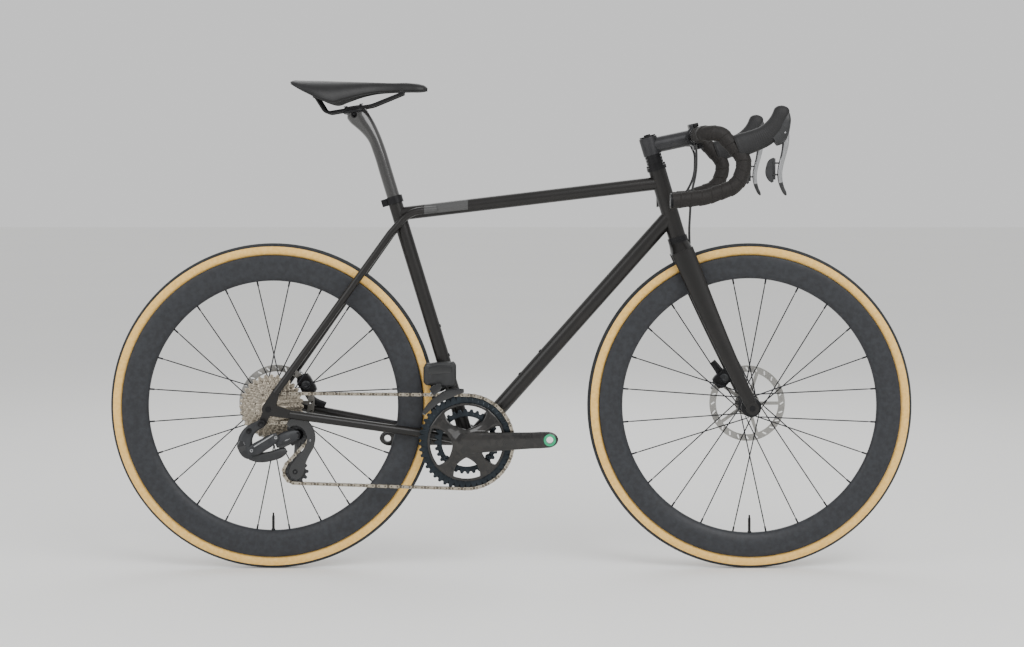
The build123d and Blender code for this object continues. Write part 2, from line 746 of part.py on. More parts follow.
keep(hoods, "hoods")

paddle_pin = top_bend + Vector(139, 0, 0)
paddle_top = -50.0
paddle_bottom = -92.0
barrel_radius = 2.6
paddle_bore = 1.2


def upright(x_at, y, low, high, radius):
    return rod(Vector(x_at.X, y, top_bend.Z + low), Vector(x_at.X, y, top_bend.Z + high), radius)


lever_blank = one_side(lever_half, -1, lever_outline)
with BuildPart() as right_lever_solid:
    add(lever_blank)
    for low in (paddle_bottom - 3.5, paddle_top + 0.5):
        add(side_plate(from_bend([(137, low), (154, low), (154, low + 3), (137, low + 3)]),
                       -lever_y - 2, -lever_y + 2))
    add(upright(paddle_pin, -lever_y, paddle_bottom - 3, paddle_top + 3, paddle_bore))
    add(disc(lever_pivot, pivot_radius + running_gap, -lever_y - 20, -lever_y + 20),
        mode=Mode.SUBTRACT)
with BuildPart() as right_brake_lever:
    add(right_lever_solid.part)
keep(right_brake_lever, "right_brake_lever")
with BuildPart() as left_brake_lever:
    add(mirrored(right_lever_solid.part))
keep(left_brake_lever, "left_brake_lever")

with BuildPart() as right_shift_paddle:
    add(upright(paddle_pin, -lever_y, paddle_bottom, paddle_top, barrel_radius))
    add(side_plate(from_bend([(139, paddle_top), (124, paddle_top - 6), (120, paddle_bottom + 6),
                              (126, paddle_bottom), (139, paddle_bottom + 4)]),
                   -lever_y - 1.5, -lever_y + 1.5))
    add(upright(paddle_pin, -lever_y, paddle_bottom - 5, paddle_top + 5,
                paddle_bore + running_gap), mode=Mode.SUBTRACT)
keep(right_shift_paddle, "right_shift_paddle")
with BuildPart() as left_shift_paddle:
    add(mirrored(right_shift_paddle.part))
keep(left_shift_paddle, "left_shift_paddle")

# ---- disc brakes --------------------------------------------------------------------
pad_size = 18.0
pad_thickness = 3.2
pad_gap = 0.45
caliper_wall = 7.0


def brake_space(centre, tilt, size, y_from, y_to):
    """A square plate turned in side view, between two distances to the left."""
    with BuildPart() as plate:
        with BuildSketch(at_y(y_to)):
            with Locations(Location((centre.X, centre.Z, 0), (0, 0, tilt))):
                Rectangle(*size)
        extrude(amount=y_to - y_from)
    return plate.part


def caliper(centre, tilt, rotor_y, foot_from, foot_to):
    """A caliper body open over its rotor, with a fixed inner pad and a foot."""
    half = rotor_thickness / 2
    outer = half + pad_gap + pad_thickness + caliper_wall
    outwards = Vector(-sin(radians(tilt)), 0, cos(radians(tilt)))
    slot_depth = 80.0
    slot_centre = centre + outwards * (rotor_radius - rotor_reach + 1 - slot_depth / 2)
    with BuildPart() as body:
        add(brake_space(centre, tilt, (44, 34), rotor_y - outer, rotor_y + outer))
        add(round_link(centre, 9, foot_from, 9, rotor_y + half + 1.5, rotor_y + outer))
        add(round_link(foot_from, 9, foot_to, 8, rotor_y + half + 1.5, rotor_y + outer))
        add(brake_space(slot_centre, tilt, (60, slot_depth), rotor_y - half - pad_gap,
                        rotor_y + half + pad_gap), mode=Mode.SUBTRACT)
        add(brake_space(centre, tilt, (pad_size + 0.4, pad_size + 0.4), rotor_y,
                        rotor_y + half + pad_gap + pad_thickness + 0.3), mode=Mode.SUBTRACT)
    return body.part


def pad(centre, tilt, rotor_y):
    half = rotor_thickness / 2
    return brake_space(centre, tilt, (pad_size, pad_size), rotor_y + half + pad_gap,
                       rotor_y + half + pad_gap + pad_thickness)


rotor_reach = rotor_radius - 9.5
rear_brake_angle = 31.0
front_brake_angle = 133.0
rear_brake = rear_axle + Vector(cos(radians(rear_brake_angle)), 0,
                                sin(radians(rear_brake_angle))) * rotor_reach
front_brake = front_axle + Vector(cos(radians(front_brake_angle)), 0,
                                  sin(radians(front_brake_angle))) * rotor_reach
rear_tilt = rear_brake_angle - 90
front_tilt = front_brake_angle - 90

with BuildPart() as rear_caliper:
    add(caliper(rear_brake, rear_tilt, rear_rotor_y, rear_axle + stay_line * 72 + stay_up * 14,
                rear_axle + stay_line * 108 + stay_up * 7))
    add(chain_stay_bar, mode=Mode.SUBTRACT)
keep(rear_caliper, "rear_caliper")
with BuildPart() as front_caliper:
    add(caliper(front_brake, front_tilt, front_rotor_y, on_steerer(95, 17), on_steerer(60, 22)))
    add(fork.part, mode=Mode.SUBTRACT)
keep(front_caliper, "front_caliper")
with BuildPart() as rear_brake_pad:
    add(pad(rear_brake, rear_tilt, rear_rotor_y))
keep(rear_brake_pad, "rear_brake_pad")
with BuildPart() as front_brake_pad:
    add(pad(front_brake, front_tilt, front_rotor_y))
keep(front_brake_pad, "front_brake_pad")

# ---- wheels -------------------------------------------------------------------------
flange_radius = 21.0
cap_radius = 9.5
hub_neck = 13.0


def rim_profile(depth, inset):
    """Half-ellipse rim section in the current wheel plane, shrunk by a wall."""
    half = rim_half_width - inset
    shoulder = rim_outer_radius - 13
    with BuildLine() as outline:
        EllipticalCenterArc((0, shoulder), half, depth - 13 - inset, 180, arc_size=180)
        Polyline((half, shoulder), (half - 1, rim_outer_radius - inset),
                 (-half + 1, rim_outer_radius - inset), (-half, shoulder))
    make_face(outline.edges())


def wheel(centre, depth, left_flange, right_flange, valve_at):
    """Rim with its valve, tyre and spokes with nipples, by name."""
    with BuildPart() as rim:
        with BuildSketch(turning_plane(centre)):
            rim_profile(depth, 0)
        revolve(axis=cross_axis(centre))
        with BuildSketch(turning_plane(centre)):
            rim_profile(depth, rim_wall)
        revolve(axis=cross_axis(centre), mode=Mode.SUBTRACT)
        out = Vector(cos(radians(valve_at)), 0, sin(radians(valve_at)))
        nose = rim_outer_radius - depth
        add(rod(centre + out * (nose - 36), centre + out * (nose - side_gap), 3.0))
    with BuildPart() as tyre:
        with BuildSketch(turning_plane(centre)):
            with Locations((0, tyre_radius - tyre_width / 2)):
                Circle(tyre_width / 2)
                Circle(tyre_width / 2 - tyre_wall, mode=Mode.SUBTRACT)
            with Locations((0, rim_outer_radius - 50)):
                Rectangle(60, 100, mode=Mode.SUBTRACT)
        revolve(axis=cross_axis(centre))
    step = 360 / spoke_count
    with BuildPart() as spokes:
        for index in range(spoke_count):
            flange = (left_flange, right_flange)[index % 2]
            lean = (1, -1)[(index // 2) % 2]
            rim_turn = radians(index * step + step / 2)
            hub_turn = rim_turn + lean * radians(56)
            y = flange + lean * 1.3
            reach = rim_outer_radius - depth - side_gap - 0.4
            inner = centre + Vector(cos(hub_turn), 0, sin(hub_turn)) * (flange_radius + 1.2)
            outer = centre + Vector(cos(rim_turn), 0, sin(rim_turn)) * reach
            inner = Vector(inner.X, y, inner.Z)
            run = (outer - inner).normalized()
            add(rod(inner, outer - run * nipple_length, spoke_radius))
            add(rod(outer - run * nipple_length, outer, nipple_radius))
    return rim, tyre, spokes


def hub(centre, half_width, left_flange, right_flange, right_end, rotor_y):
    """A hub shell turned about the axle, with a seat for the rotor on the left."""
    with BuildPart() as shell:
        with BuildSketch(turning_plane(centre)):
            with BuildLine():
                Polyline((-right_end, axle_radius + running_gap),
                         (-right_end, cap_radius),
                         (right_flange - 6, cap_radius + 1), (right_flange - 3, flange_radius),
                         (right_flange + 3, flange_radius), (right_flange + 7, hub_neck),
                         (left_flange - 7, hub_neck), (left_flange - 3, flange_radius),
                         (left_flange + 3, flange_radius), (left_flange + 5, 16.5),
                         (rotor_y + 3, 16.5), (rotor_y + 4, cap_radius + 1),
                         (half_width - side_gap, cap_radius),
                         (half_width - side_gap, axle_radius + running_gap), close=True)
            make_face()
        revolve(axis=cross_axis(centre))
    return shell


def rotor(centre, rotor_y):
    """A slotted brake disc on a star-shaped carrier."""
    with BuildPart() as plate:
        with BuildSketch(at_y(rotor_y + rotor_thickness / 2)):
            with Locations((centre.X, centre.Z)):
                Circle(rotor_radius)
                Circle(rotor_radius - 14, mode=Mode.SUBTRACT)
                Circle(26)
                with PolarLocations(46, 5):
                    Rectangle(50, 7)
                Circle(16.5 + seat_gap, mode=Mode.SUBTRACT)
                with PolarLocations(rotor_radius - 7, 24):
                    SlotOverall(9, 3, rotation=35, mode=Mode.SUBTRACT)
        extrude(amount=rotor_thickness)
    return plate


front_flanges = (25.0, -33.0)
rear_flanges = (34.0, -17.0)
front_rim, front_tyre, front_spokes = wheel(front_axle, front_rim_depth, *front_flanges, 270)
rear_rim, rear_tyre, rear_spokes = wheel(rear_axle, rear_rim_depth, *rear_flanges, 270)
front_hub = hub(front_axle, fork_inner_y, *front_flanges, fork_inner_y - side_gap, front_rotor_y)
rear_hub = hub(rear_axle, dropout_inner_y, *rear_flanges, 22.5, rear_rotor_y)
front_rotor = rotor(front_axle, front_rotor_y)
rear_rotor = rotor(rear_axle, rear_rotor_y)
keep(front_rim, "front_rim")
keep(front_tyre, "front_tyre")
keep(front_spokes, "front_spokes")
keep(front_hub, "front_hub")
keep(front_rotor, "front_rotor")
keep(rear_rim, "rear_rim")
keep(rear_tyre, "rear_tyre")
keep(rear_spokes, "rear_spokes")
keep(rear_hub, "rear_hub")
keep(rear_rotor, "rear_rotor")

# ---- crank and chainrings -----------------------------------------------------------
arm_run = Vector(cos(radians(crank_rise)), 0, sin(radians(crank_rise)))
right_pedal = crank_centre + arm_run * crank_length
left_pedal = crank_centre - arm_run * crank_length
pedal_bore = 7.14
arm_end_radius = 17.5
arm_root_radius = 25.0
spider_radius = 80.5
spider_thickness = 4.9
spider_y = big_ring_y + ring_thickness / 2 + spider_thickness / 2 + seat_gap
ring_inner_radius = spider_radius + 0.5
bolt_circle = 55.0
bolt_angles = [38 + crank_rise, 142 + crank_rise, 218 + crank_rise, 322 + crank_rise]
bolt_shank = 4.0


def toothed(centre, teeth, tooth_depth, centre_turn):
    """Outline of a chain wheel in the current sketch: a root disc with tapered teeth."""
    pitch_radius = link_pitch / 2 / sin(pi / teeth)
    root = pitch_radius - tooth_depth / 2
    tip = pitch_radius + tooth_depth / 2
    with Locations((centre.X, centre.Z)):
        Circle(root)
        with PolarLocations(root - 0.4, teeth, start_angle=centre_turn):
            with Locations((0.5 * (tip - root), 0)):
                Trapezoid(0.42 * link_pitch, tip - root + 0.8, 68, rotation=-90)


def bolt_places(radius=bolt_circle):
    return [crank_centre + Vector(cos(radians(a)), 0, sin(radians(a))) * radius
            for a in bolt_angles]


bolt_bores = [disc(place, bolt_shank + seat_gap, -70, -20) for place in bolt_places()]
tab_links = [round_link(place, 8.0, crank_centre + (place - crank_centre) * 1.55, 9.0,
                        big_ring_y - ring_thickness / 2, big_ring_y + ring_thickness / 2)
             for place in bolt_places()]
small_tabs = [round_link(place, 7.5, place, 8.0, small_ring_y - ring_thickness / 2,
                         small_ring_y + ring_thickness / 2) for place in bolt_places()]

with BuildPart() as big_chainring:
    with BuildSketch(at_y(big_ring_y + ring_thickness / 2)):
        toothed(crank_centre, big_teeth, 5.0, crank_rise)
        with Locations((crank_centre.X, crank_centre.Z)):
            Circle(ring_inner_radius, mode=Mode.SUBTRACT)
    extrude(amount=ring_thickness)
    for tab in tab_links:
        add(tab)
    for bore in bolt_bores:
        add(bore, mode=Mode.SUBTRACT)
keep(big_chainring, "big_chainring")

bolt_pins = []
for place in bolt_places():
    bolt_pins.append(disc(place, bolt_shank, big_ring_y - ring_thickness / 2 - 0.5,
                          small_ring_y + ring_thickness / 2 + 0.5))
    bolt_pins.append(disc(place, 6.2, big_ring_y - ring_thickness / 2 - 2,
                          big_ring_y - ring_thickness / 2 - seat_gap))

with BuildPart() as small_chainring:
    with BuildSketch(at_y(small_ring_y + ring_thickness / 2)):
        toothed(crank_centre, small_teeth, 5.0, crank_rise)
        with Locations((crank_centre.X, crank_centre.Z)):
            Circle(bolt_circle - 3, mode=Mode.SUBTRACT)
    extrude(amount=ring_thickness)
    for tab in small_tabs:
        add(tab)
    for bore in bolt_bores:
        add(bore, mode=Mode.SUBTRACT)
    for pin in bolt_pins:
        add(pin)
keep(small_chainring, "small_chainring")

spindle_end_y = arm_inner_y + arm_thickness - 2
arm_right = round_link(crank_centre, arm_root_radius, right_pedal, arm_end_radius,
                       -arm_inner_y - arm_thickness, -arm_inner_y)
spider_arms = [round_link(crank_centre, 20, place, 9.5, spider_y - spider_thickness / 2,
                          spider_y + spider_thickness / 2) for place in bolt_places()]
with BuildPart() as right_crank_arm:
    add(arm_right)
    add(disc(crank_centre, arm_root_radius, -arm_inner_y, spider_y + spider_thickness / 2))
    for arm in spider_arms:
        add(arm)
    add(disc(crank_centre, spindle_radius, -arm_inner_y, spindle_end_y))
    for bore in bolt_bores:
        add(bore, mode=Mode.SUBTRACT)
    add(disc(right_pedal, pedal_bore, -100, 0), mode=Mode.SUBTRACT)
keep(right_crank_arm, "right_crank_arm")

arm_left = round_link(crank_centre, 21, left_pedal, arm_end_radius, arm_inner_y,
                      arm_inner_y + arm_thickness)
with BuildPart() as left_crank_arm:
    add(arm_left)
    add(disc(crank_centre, 18, cup_flange_y + cup_flange_width + side_gap, arm_inner_y))
    add(disc(crank_centre, spindle_radius + seat_gap, 0, 100), mode=Mode.SUBTRACT)
    add(disc(left_pedal, pedal_bore, 0, 100), mode=Mode.SUBTRACT)
keep(left_crank_arm, "left_crank_arm")

washer_radius = 12.5
with BuildPart() as pedal_washers:
    outer_face = arm_inner_y + arm_thickness
    add(disc(right_pedal, washer_radius, -outer_face - 1.2, -outer_face))
    add(disc(left_pedal, washer_radius, outer_face, outer_face + 1.2))
    add(disc(right_pedal, pedal_bore + 0.4, -100, 0), mode=Mode.SUBTRACT)
    add(disc(left_pedal, pedal_bore + 0.4, 0, 100), mode=Mode.SUBTRACT)
keep(pedal_washers, "pedal_washers")

# ---- cassette -----------------------------------------------------------------------
freehub_radius = 17.0
sprocket_y = [outer_sprocket_y + index * sprocket_spacing for index in range(12)]
cassette_inner_y = sprocket_y[-1] + sprocket_thickness / 2
with BuildPart() as cassette:
    for teeth, y in zip(cassette_teeth, sprocket_y):
        with BuildSketch(at_y(y + sprocket_thickness / 2)):
            toothed(rear_axle, teeth, 4.6, 0)
        extrude(amount=sprocket_thickness)
    add(disc(rear_axle, freehub_radius, outer_sprocket_y - 2, cassette_inner_y))
    add(disc(rear_axle, axle_radius + running_gap, -100, 0), mode=Mode.SUBTRACT)
keep(cassette, "cassette")

# ---- rear derailleur ----------------------------------------------------------------
pulley_gap = 3.6              # from the chain's plane to each cage plate
cage_plate = 1.6
guide_centre = rear_axle + Vector(59, 0, -54)
tension_centre = guide_centre + Vector(-6, 0, -77)
chain_tilt = (big_ring_y - sprocket_y[used_sprocket]) / (crank_centre.X - rear_axle.X)
pulley_y = sprocket_y[used_sprocket] + chain_tilt * (guide_centre.X - rear_axle.X)
cage_outer_y = pulley_y - pulley_gap - cage_plate
mount_pivot = rear_axle + Vector(-37, 0, -43)
shift_slope = 33.0            # the cage drops this steeply as it moves inboard
shift_path = Vector(0, cos(radians(shift_slope)), -sin(radians(shift_slope)))
link_length = 57.0
link_run = Vector(0.938, 0.347 * tan(radians(shift_slope)), 0.347).normalized()
link_axis = link_run.cross(shift_path)
link_rear = rear_axle + Vector(-32, -84, -84)
link_front = link_rear + link_run * link_length
knuckle_y = -dropout_inner_y - dropout_thickness - side_gap
link_half = 10.0
link_head = 7.5
ear_height = 4.0
pin_radius = 1.8


def slanted(point, radius, low, high):
    """A round piece standing along the derailleur link's own pivot axis."""
    return rod(point + link_axis * low, point + link_axis * high, radius)


def ears(point, reach):
    """Two round-ended ears above and below the link's head, reaching sideways."""
    pair = []
    for low in (-link_half - side_gap - ear_height, link_half + side_gap):
        with BuildPart() as ear:
            with BuildSketch(Plane(origin=point + link_axis * low, x_dir=link_run,
                                   z_dir=link_axis)):
                Circle(8.5)
                with Locations((0, reach / 2)):
                    Rectangle(17, abs(reach))
            extrude(amount=ear_height)
        pair.append(ear.part)
    return pair


with BuildPart() as derailleur_mount:
    add(disc(hanger_bolt, hanger_bolt_radius, knuckle_y - 3, -dropout_inner_y))
    add(round_link(hanger_bolt, 8.5, mount_pivot, 10, knuckle_y - 5, knuckle_y))
    add(round_link(mount_pivot, 11, link_rear + Vector(-8, 0, 6), 14,
                   knuckle_y - 20, knuckle_y - 5))
    for ear in ears(link_rear, 0.1):
        add(ear)
    add(slanted(link_rear, link_head + 5, -link_half - side_gap, link_half + side_gap),
        mode=Mode.SUBTRACT)
    add(slanted(link_rear, pin_radius, -13, 13))
keep(derailleur_mount, "derailleur_mount")

with BuildPart() as derailleur_link:
    add(slanted(link_rear, link_head, -link_half, link_half))
    add(slanted(link_front, link_head, -link_half, link_half))
    with BuildSketch(Plane(origin=link_rear, x_dir=link_axis, z_dir=link_run)):
        RectangleRounded(2 * link_half - 2, 11, 4)
    extrude(amount=link_length)
    for point in (link_rear, link_front):
        add(slanted(point, pin_radius + running_gap, -20, 20), mode=Mode.SUBTRACT)
keep(derailleur_link, "derailleur_link")

pivot_pin = 4.0
knuckle_inner_y = cage_outer_y - side_gap
knuckle_outer_y = link_front.Y + 9.5
with BuildPart() as derailleur_knuckle:
    add(round_link(link_front + Vector(6, 0, -2), 12, guide_centre, 13,
                   knuckle_outer_y, knuckle_inner_y))
    for ear in ears(link_front, -12):
        add(ear)
    add(slanted(link_front, link_head + 5, -link_half - side_gap, link_half + side_gap),
        mode=Mode.SUBTRACT)
    add(disc(guide_centre, 13, knuckle_outer_y, knuckle_inner_y))
    add(slanted(link_front, pin_radius, -13, 13))
    add(disc(guide_centre, pivot_pin, knuckle_inner_y - 2, pulley_y + pulley_gap + cage_plate))
keep(derailleur_knuckle, "derailleur_knuckle")

tension_pin = 3.0
with BuildPart() as derailleur_cage:
    for low in (cage_outer_y, pulley_y + pulley_gap):
        add(round_link(guide_centre, 12, tension_centre, 12, low, low + cage_plate))
    add(disc(guide_centre, pivot_pin + running_gap, -100, 0), mode=Mode.SUBTRACT)
    add(disc(tension_centre, tension_pin, cage_outer_y, pulley_y + pulley_gap + cage_plate))
keep(derailleur_cage, "derailleur_cage")


def pulley(centre, bore):
    with BuildPart() as wheel_body:
        with BuildSketch(at_y(pulley_y + pulley_thickness / 2)):
            toothed(centre, pulley_teeth, 4.6, 0)
        extrude(amount=pulley_thickness)
        add(disc(centre, 9, pulley_y - pulley_gap + side_gap, pulley_y + pulley_gap - side_gap))
        add(disc(centre, bore, -100, 0), mode=Mode.SUBTRACT)
    return wheel_body


guide_pulley = pulley(guide_centre, pivot_pin + running_gap)
keep(guide_pulley, "guide_pulley")
tension_pulley = pulley(tension_centre, tension_pin + running_gap)
keep(tension_pulley, "tension_pulley")

# ---- chain: two side plates along the whole loop, tied by pins on the free runs -----
def pitch_radius(teeth):
    return link_pitch / 2 / sin(pi / teeth)


used_teeth = cassette_teeth[used_sprocket]
chain_wheels = [
    # centre, pitch radius, +1 where the chain runs clockwise round it in side view
    (rear_axle, pitch_radius(used_teeth), 1),
    (crank_centre, pitch_radius(big_teeth), 1),
    (tension_centre, pitch_radius(pulley_teeth), 1),
    (guide_centre, pitch_radius(pulley_teeth), -1),
]
chain_turn = atan2(big_ring_y - sprocket_y[used_sprocket], crank_centre.X - rear_axle.X)


def chain_side(offset):
    """Corner points of the belt round the chain wheels, moved outwards by an offset."""
    spots = [(w[0].X - rear_axle.X, w[0].Z, w[1] * w[2] + offset, w[2]) for w in chain_wheels]
    normals = []
    for (x1, z1, r1, _), (x2, z2, r2, _) in zip(spots, spots[1:] + spots[:1]):
        run = hypot(x2 - x1, z2 - z1)
        heading = atan2(z2 - z1, x2 - x1) - asin((r1 - r2) / run)
        normals.append(heading + pi / 2)
    return spots, normals


def chain_loop(offset):
    """Edges of the belt: a straight run and an arc for each wheel."""
    spots, normals = chain_side(offset)
    with BuildLine() as loop:
        for index, (x, z, r, turn) in enumerate(spots):
            arrive, leave = normals[index - 1], normals[index]
            sweep_angle = ((arrive - leave) * turn) % (2 * pi)
            middle = arrive - turn * sweep_angle / 2
            arc = [(x + r * cos(a), z + r * sin(a)) for a in (arrive, middle, leave)]
            ThreePointArc(*arc)
            nx, nz, nr, _ = spots[(index + 1) % len(spots)]
            Line(arc[2], (nx + nr * cos(leave), nz + nr * sin(leave)))
    return loop


def chain_plane(y_offset):
    across = Vector(-sin(chain_turn), cos(chain_turn), 0)
    origin = Vector(rear_axle.X, sprocket_y[used_sprocket], 0) + across * y_offset
    return Plane(origin=origin, x_dir=(cos(chain_turn), sin(chain_turn), 0), z_dir=across * -1)


pin_step = 4 * link_pitch
chain_outside = chain_loop(chain_height / 2)
chain_inside = chain_loop(-chain_height / 2)
with BuildPart() as chain:
    for low in (-chain_gap - chain_plate, chain_gap):
        with BuildSketch(chain_plane(low + chain_plate)):
            make_face(chain_outside.edges())
            make_face(chain_inside.edges(), mode=Mode.SUBTRACT)
        extrude(amount=chain_plate)
    spots, normals = chain_side(0)
    for index in (0, 1):
        x, z, r, _ = spots[index]
        nx, nz, nr, _ = spots[index + 1]
        start = Vector(x + r * cos(normals[index]), z + r * sin(normals[index]))
        finish = Vector(nx + nr * cos(normals[index]), nz + nr * sin(normals[index]))
        count = int((finish - start).length / pin_step)
        with BuildSketch(chain_plane(chain_gap)):
            for step in range(1, count):
                spot = start + (finish - start) * (step / count)
                with Locations((spot.X, spot.Y)):
                    Circle(2.4)
        extrude(amount=2 * chain_gap)
keep(chain, "chain")

# ---- front derailleur: a motor body on a band, and a cage that slides on its pin ----
fd_band_along = 140.0
fd_band_height = 16.0
fd_pin = rear_axle + Vector(349, 0, 44)
fd_pin_radius = 3.0
fd_outer_y = -44.0
fd_nose_y = -35.0
cage_inner_low = big_ring_y + 3.5
cage_outer_high = big_ring_y - 5.1
fd_plate = 1.0
ring_tip = pitch_radius(big_teeth) + 2.5
cage_inner_radius = ring_tip + 3.4
cage_outer_radius = cage_inner_radius + 20
with BuildPart() as front_derailleur:
    add(side_plate([(fd_pin.X - 31, 425), (fd_pin.X - 12, 437), (fd_pin.X + 28, 438),
                    (fd_pin.X + 34, 396), (fd_pin.X + 18, 393), (fd_pin.X - 24, 393)],
                   fd_outer_y, -18))
    add(side_plate([(fd_pin.X - 22, 396), (fd_pin.X + 30, 396), (fd_pin.X + 18, 380),
                    (fd_pin.X + 6, 374), (fd_pin.X - 8, 375)], fd_nose_y, -18))
    add(rod(on_seat_axis(fd_band_along), on_seat_axis(fd_band_along + fd_band_height),
            seat_tube_radius + 3))
    add(side_plate([(fd_pin.X + 4, 402), (fd_pin.X + 28, 402), (fd_pin.X + 24, 418),
                    (fd_pin.X + 2, 418)], -20, 0))
    add(seat_outside, mode=Mode.SUBTRACT)
    add(disc(fd_pin, fd_pin_radius, cage_outer_high - 2, -20))
keep(front_derailleur, "front_derailleur")


def cage_arc(y_from, y_to, tab):
    """A curved cage plate round the big ring's rear top, with a tab to the pin."""
    with BuildPart() as plate:
        with BuildSketch(at_y(y_to)):
            with BuildLine() as outline:
                low, high = 114, 152
                inner = CenterArc((crank_centre.X, crank_centre.Z), cage_inner_radius, low,
                                  high - low)
                outer = CenterArc((crank_centre.X, crank_centre.Z), cage_outer_radius, low,
                                  high - low)
                Line(inner @ 0, outer @ 0)
                Line(inner @ 1, outer @ 1)
            make_face(outline.edges())
        extrude(amount=y_to - y_from)
        add(tab)
    return plate.part


cage_tab_foot = crank_centre + Vector(cos(radians(117)), 0, sin(radians(117))) * (ring_tip + 13)
with BuildPart() as front_derailleur_cage:
    for low in (cage_outer_high - fd_plate, cage_inner_low):
        tab = round_link(fd_pin, 6.5, cage_tab_foot, 7, low, low + fd_plate)
        add(cage_arc(low, low + fd_plate, tab))
    add(disc(fd_pin, 6.0, cage_outer_high - fd_plate, cage_inner_low + fd_plate))
    add(disc(fd_pin, fd_pin_radius + running_gap, -100, 0), mode=Mode.SUBTRACT)
keep(front_derailleur_cage, "front_derailleur_cage")

# ---- brake hoses --------------------------------------------------------------------
front_hose_points = [
    bar_centre + Vector(-4, -60, -17), bar_centre + Vector(0, -40, -34),
    bar_centre + Vector(2, -12, -75), bar_centre + Vector(-8, 0, -120),
    on_steerer(fork_length + 20, 29), on_steerer(fork_length - 10, 21),
]
rear_hose_points = [
    bar_centre + Vector(-4, 60, -17), bar_centre + Vector(4, 46, -36),
    bar_centre + Vector(2, 34, -84), bar_centre + Vector(-22, 28, -128),
    down_tube_front + Vector(6, 27, 14), down_tube_front + Vector(-30, 12, -24),
]


def hose_radii(points):
    """The widest arcs that the runs allow, 0.45 of the shorter run at each corner."""
    radii = []
    for before, here, after in zip(points, points[1:], points[2:]):
        turn = radians((here - before).get_angle(after - here))
        shorter = min((here - before).length, (after - here).length)
        radii.append(0.45 * shorter / tan(turn / 2))
    return radii


print("hose arcs", [round(r) for r in hose_radii(front_hose_points) + hose_radii(rear_hose_points)])
with BuildPart() as front_brake_hose:
    add(swept_rod(front_hose_points, hose_radii(front_hose_points), hose_radius))
    add(fork.part, mode=Mode.SUBTRACT)
    add(bar_tape.part, mode=Mode.SUBTRACT)
keep(front_brake_hose, "front_brake_hose")
with BuildPart() as rear_brake_hose:
    add(swept_rod(rear_hose_points, hose_radii(rear_hose_points), hose_radius))
    add(down_outside, mode=Mode.SUBTRACT)
    add(bar_tape.part, mode=Mode.SUBTRACT)
keep(rear_brake_hose, "rear_brake_hose")
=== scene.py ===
import math
import bpy
import numpy as np
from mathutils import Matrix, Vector


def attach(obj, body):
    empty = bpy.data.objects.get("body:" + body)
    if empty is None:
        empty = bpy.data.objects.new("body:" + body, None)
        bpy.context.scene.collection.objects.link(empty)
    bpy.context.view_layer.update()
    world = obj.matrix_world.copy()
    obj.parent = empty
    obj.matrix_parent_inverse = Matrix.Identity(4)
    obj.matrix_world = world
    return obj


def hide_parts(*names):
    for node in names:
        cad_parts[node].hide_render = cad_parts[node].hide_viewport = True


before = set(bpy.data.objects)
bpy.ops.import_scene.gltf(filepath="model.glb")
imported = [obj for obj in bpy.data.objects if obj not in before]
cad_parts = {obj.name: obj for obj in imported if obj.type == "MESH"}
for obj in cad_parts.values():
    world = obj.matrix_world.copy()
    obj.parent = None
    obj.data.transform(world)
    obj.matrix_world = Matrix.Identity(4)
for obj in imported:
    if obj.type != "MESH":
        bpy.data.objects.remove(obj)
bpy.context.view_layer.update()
print("frame loaded")

# places that several pieces share, in metres
places = {
    "rearAxle": (-0.499, 0.0, 0.340),
    "frontAxle": (0.499, 0.0, 0.340),
    "crank": (-0.092045, 0.0, 0.2696),
    "guide": (-0.440, -0.049638, 0.286),
    "tension": (-0.446, -0.049638, 0.209),
    "topBend": (0.385026, 0.210, 0.903294),
    "bar": (0.385026, 0.0, 0.903294),
}
crankTurn = math.radians(2.2)
ringY, cogY = -0.0475, -0.050
mm = 0.001


def arr(*values):
    return np.array(values, dtype=float)


def at(name):
    return arr(*places[name])


# shells and pieces
def spline(points, count):
    # cubic through the points, its slope at each one taken from its neighbours,
    # sampled evenly along the chord of the first three columns
    p = np.asarray(points, float)
    chord = np.concatenate([[0], np.cumsum(np.linalg.norm(np.diff(p[:, :3], axis=0), axis=1))])
    slope = np.gradient(p, chord, axis=0)
    s = np.linspace(0, chord[-1], count)
    i = np.clip(np.searchsorted(chord, s, side="right") - 1, 0, len(p) - 2)
    h = (chord[i + 1] - chord[i])[:, None]
    t = (s - chord[i])[:, None] / h
    return ((2 * t**3 - 3 * t**2 + 1) * p[i] + (t**3 - 2 * t**2 + t) * h * slope[i]
            + (3 * t**2 - 2 * t**3) * p[i + 1] + (t**3 - t**2) * h * slope[i + 1])


def roundedPath(points, radii, step):
    # straight runs joined by arcs: at a corner the arc starts radius * tan(half turn) before it
    p = np.asarray(points, float)
    out = [p[0]]
    for i, radius in enumerate(radii, 1):
        a, b = p[i - 1] - p[i], p[i + 1] - p[i]
        a, b = a / np.linalg.norm(a), b / np.linalg.norm(b)
        turn = math.pi - math.acos(np.clip(a @ b, -1, 1))
        middle = (a + b) / np.linalg.norm(a + b)
        centre = p[i] + middle * radius / math.cos(turn / 2)
        start = p[i] + a * radius * math.tan(turn / 2) - centre
        end = p[i] + b * radius * math.tan(turn / 2) - centre
        t = np.linspace(0, 1, 12)[:, None]
        arc = np.sin((1 - t) * turn) * start + np.sin(t * turn) * end
        out.extend(centre + arc / math.sin(turn))
    out.append(p[-1])
    out = np.array(out)
    run = np.concatenate([[0], np.cumsum(np.linalg.norm(np.diff(out, axis=0), axis=1))])
    s = np.linspace(0, run[-1], max(2, int(run[-1] / step)))
    return np.stack([np.interp(s, run, out[:, k]) for k in range(3)], axis=1), s


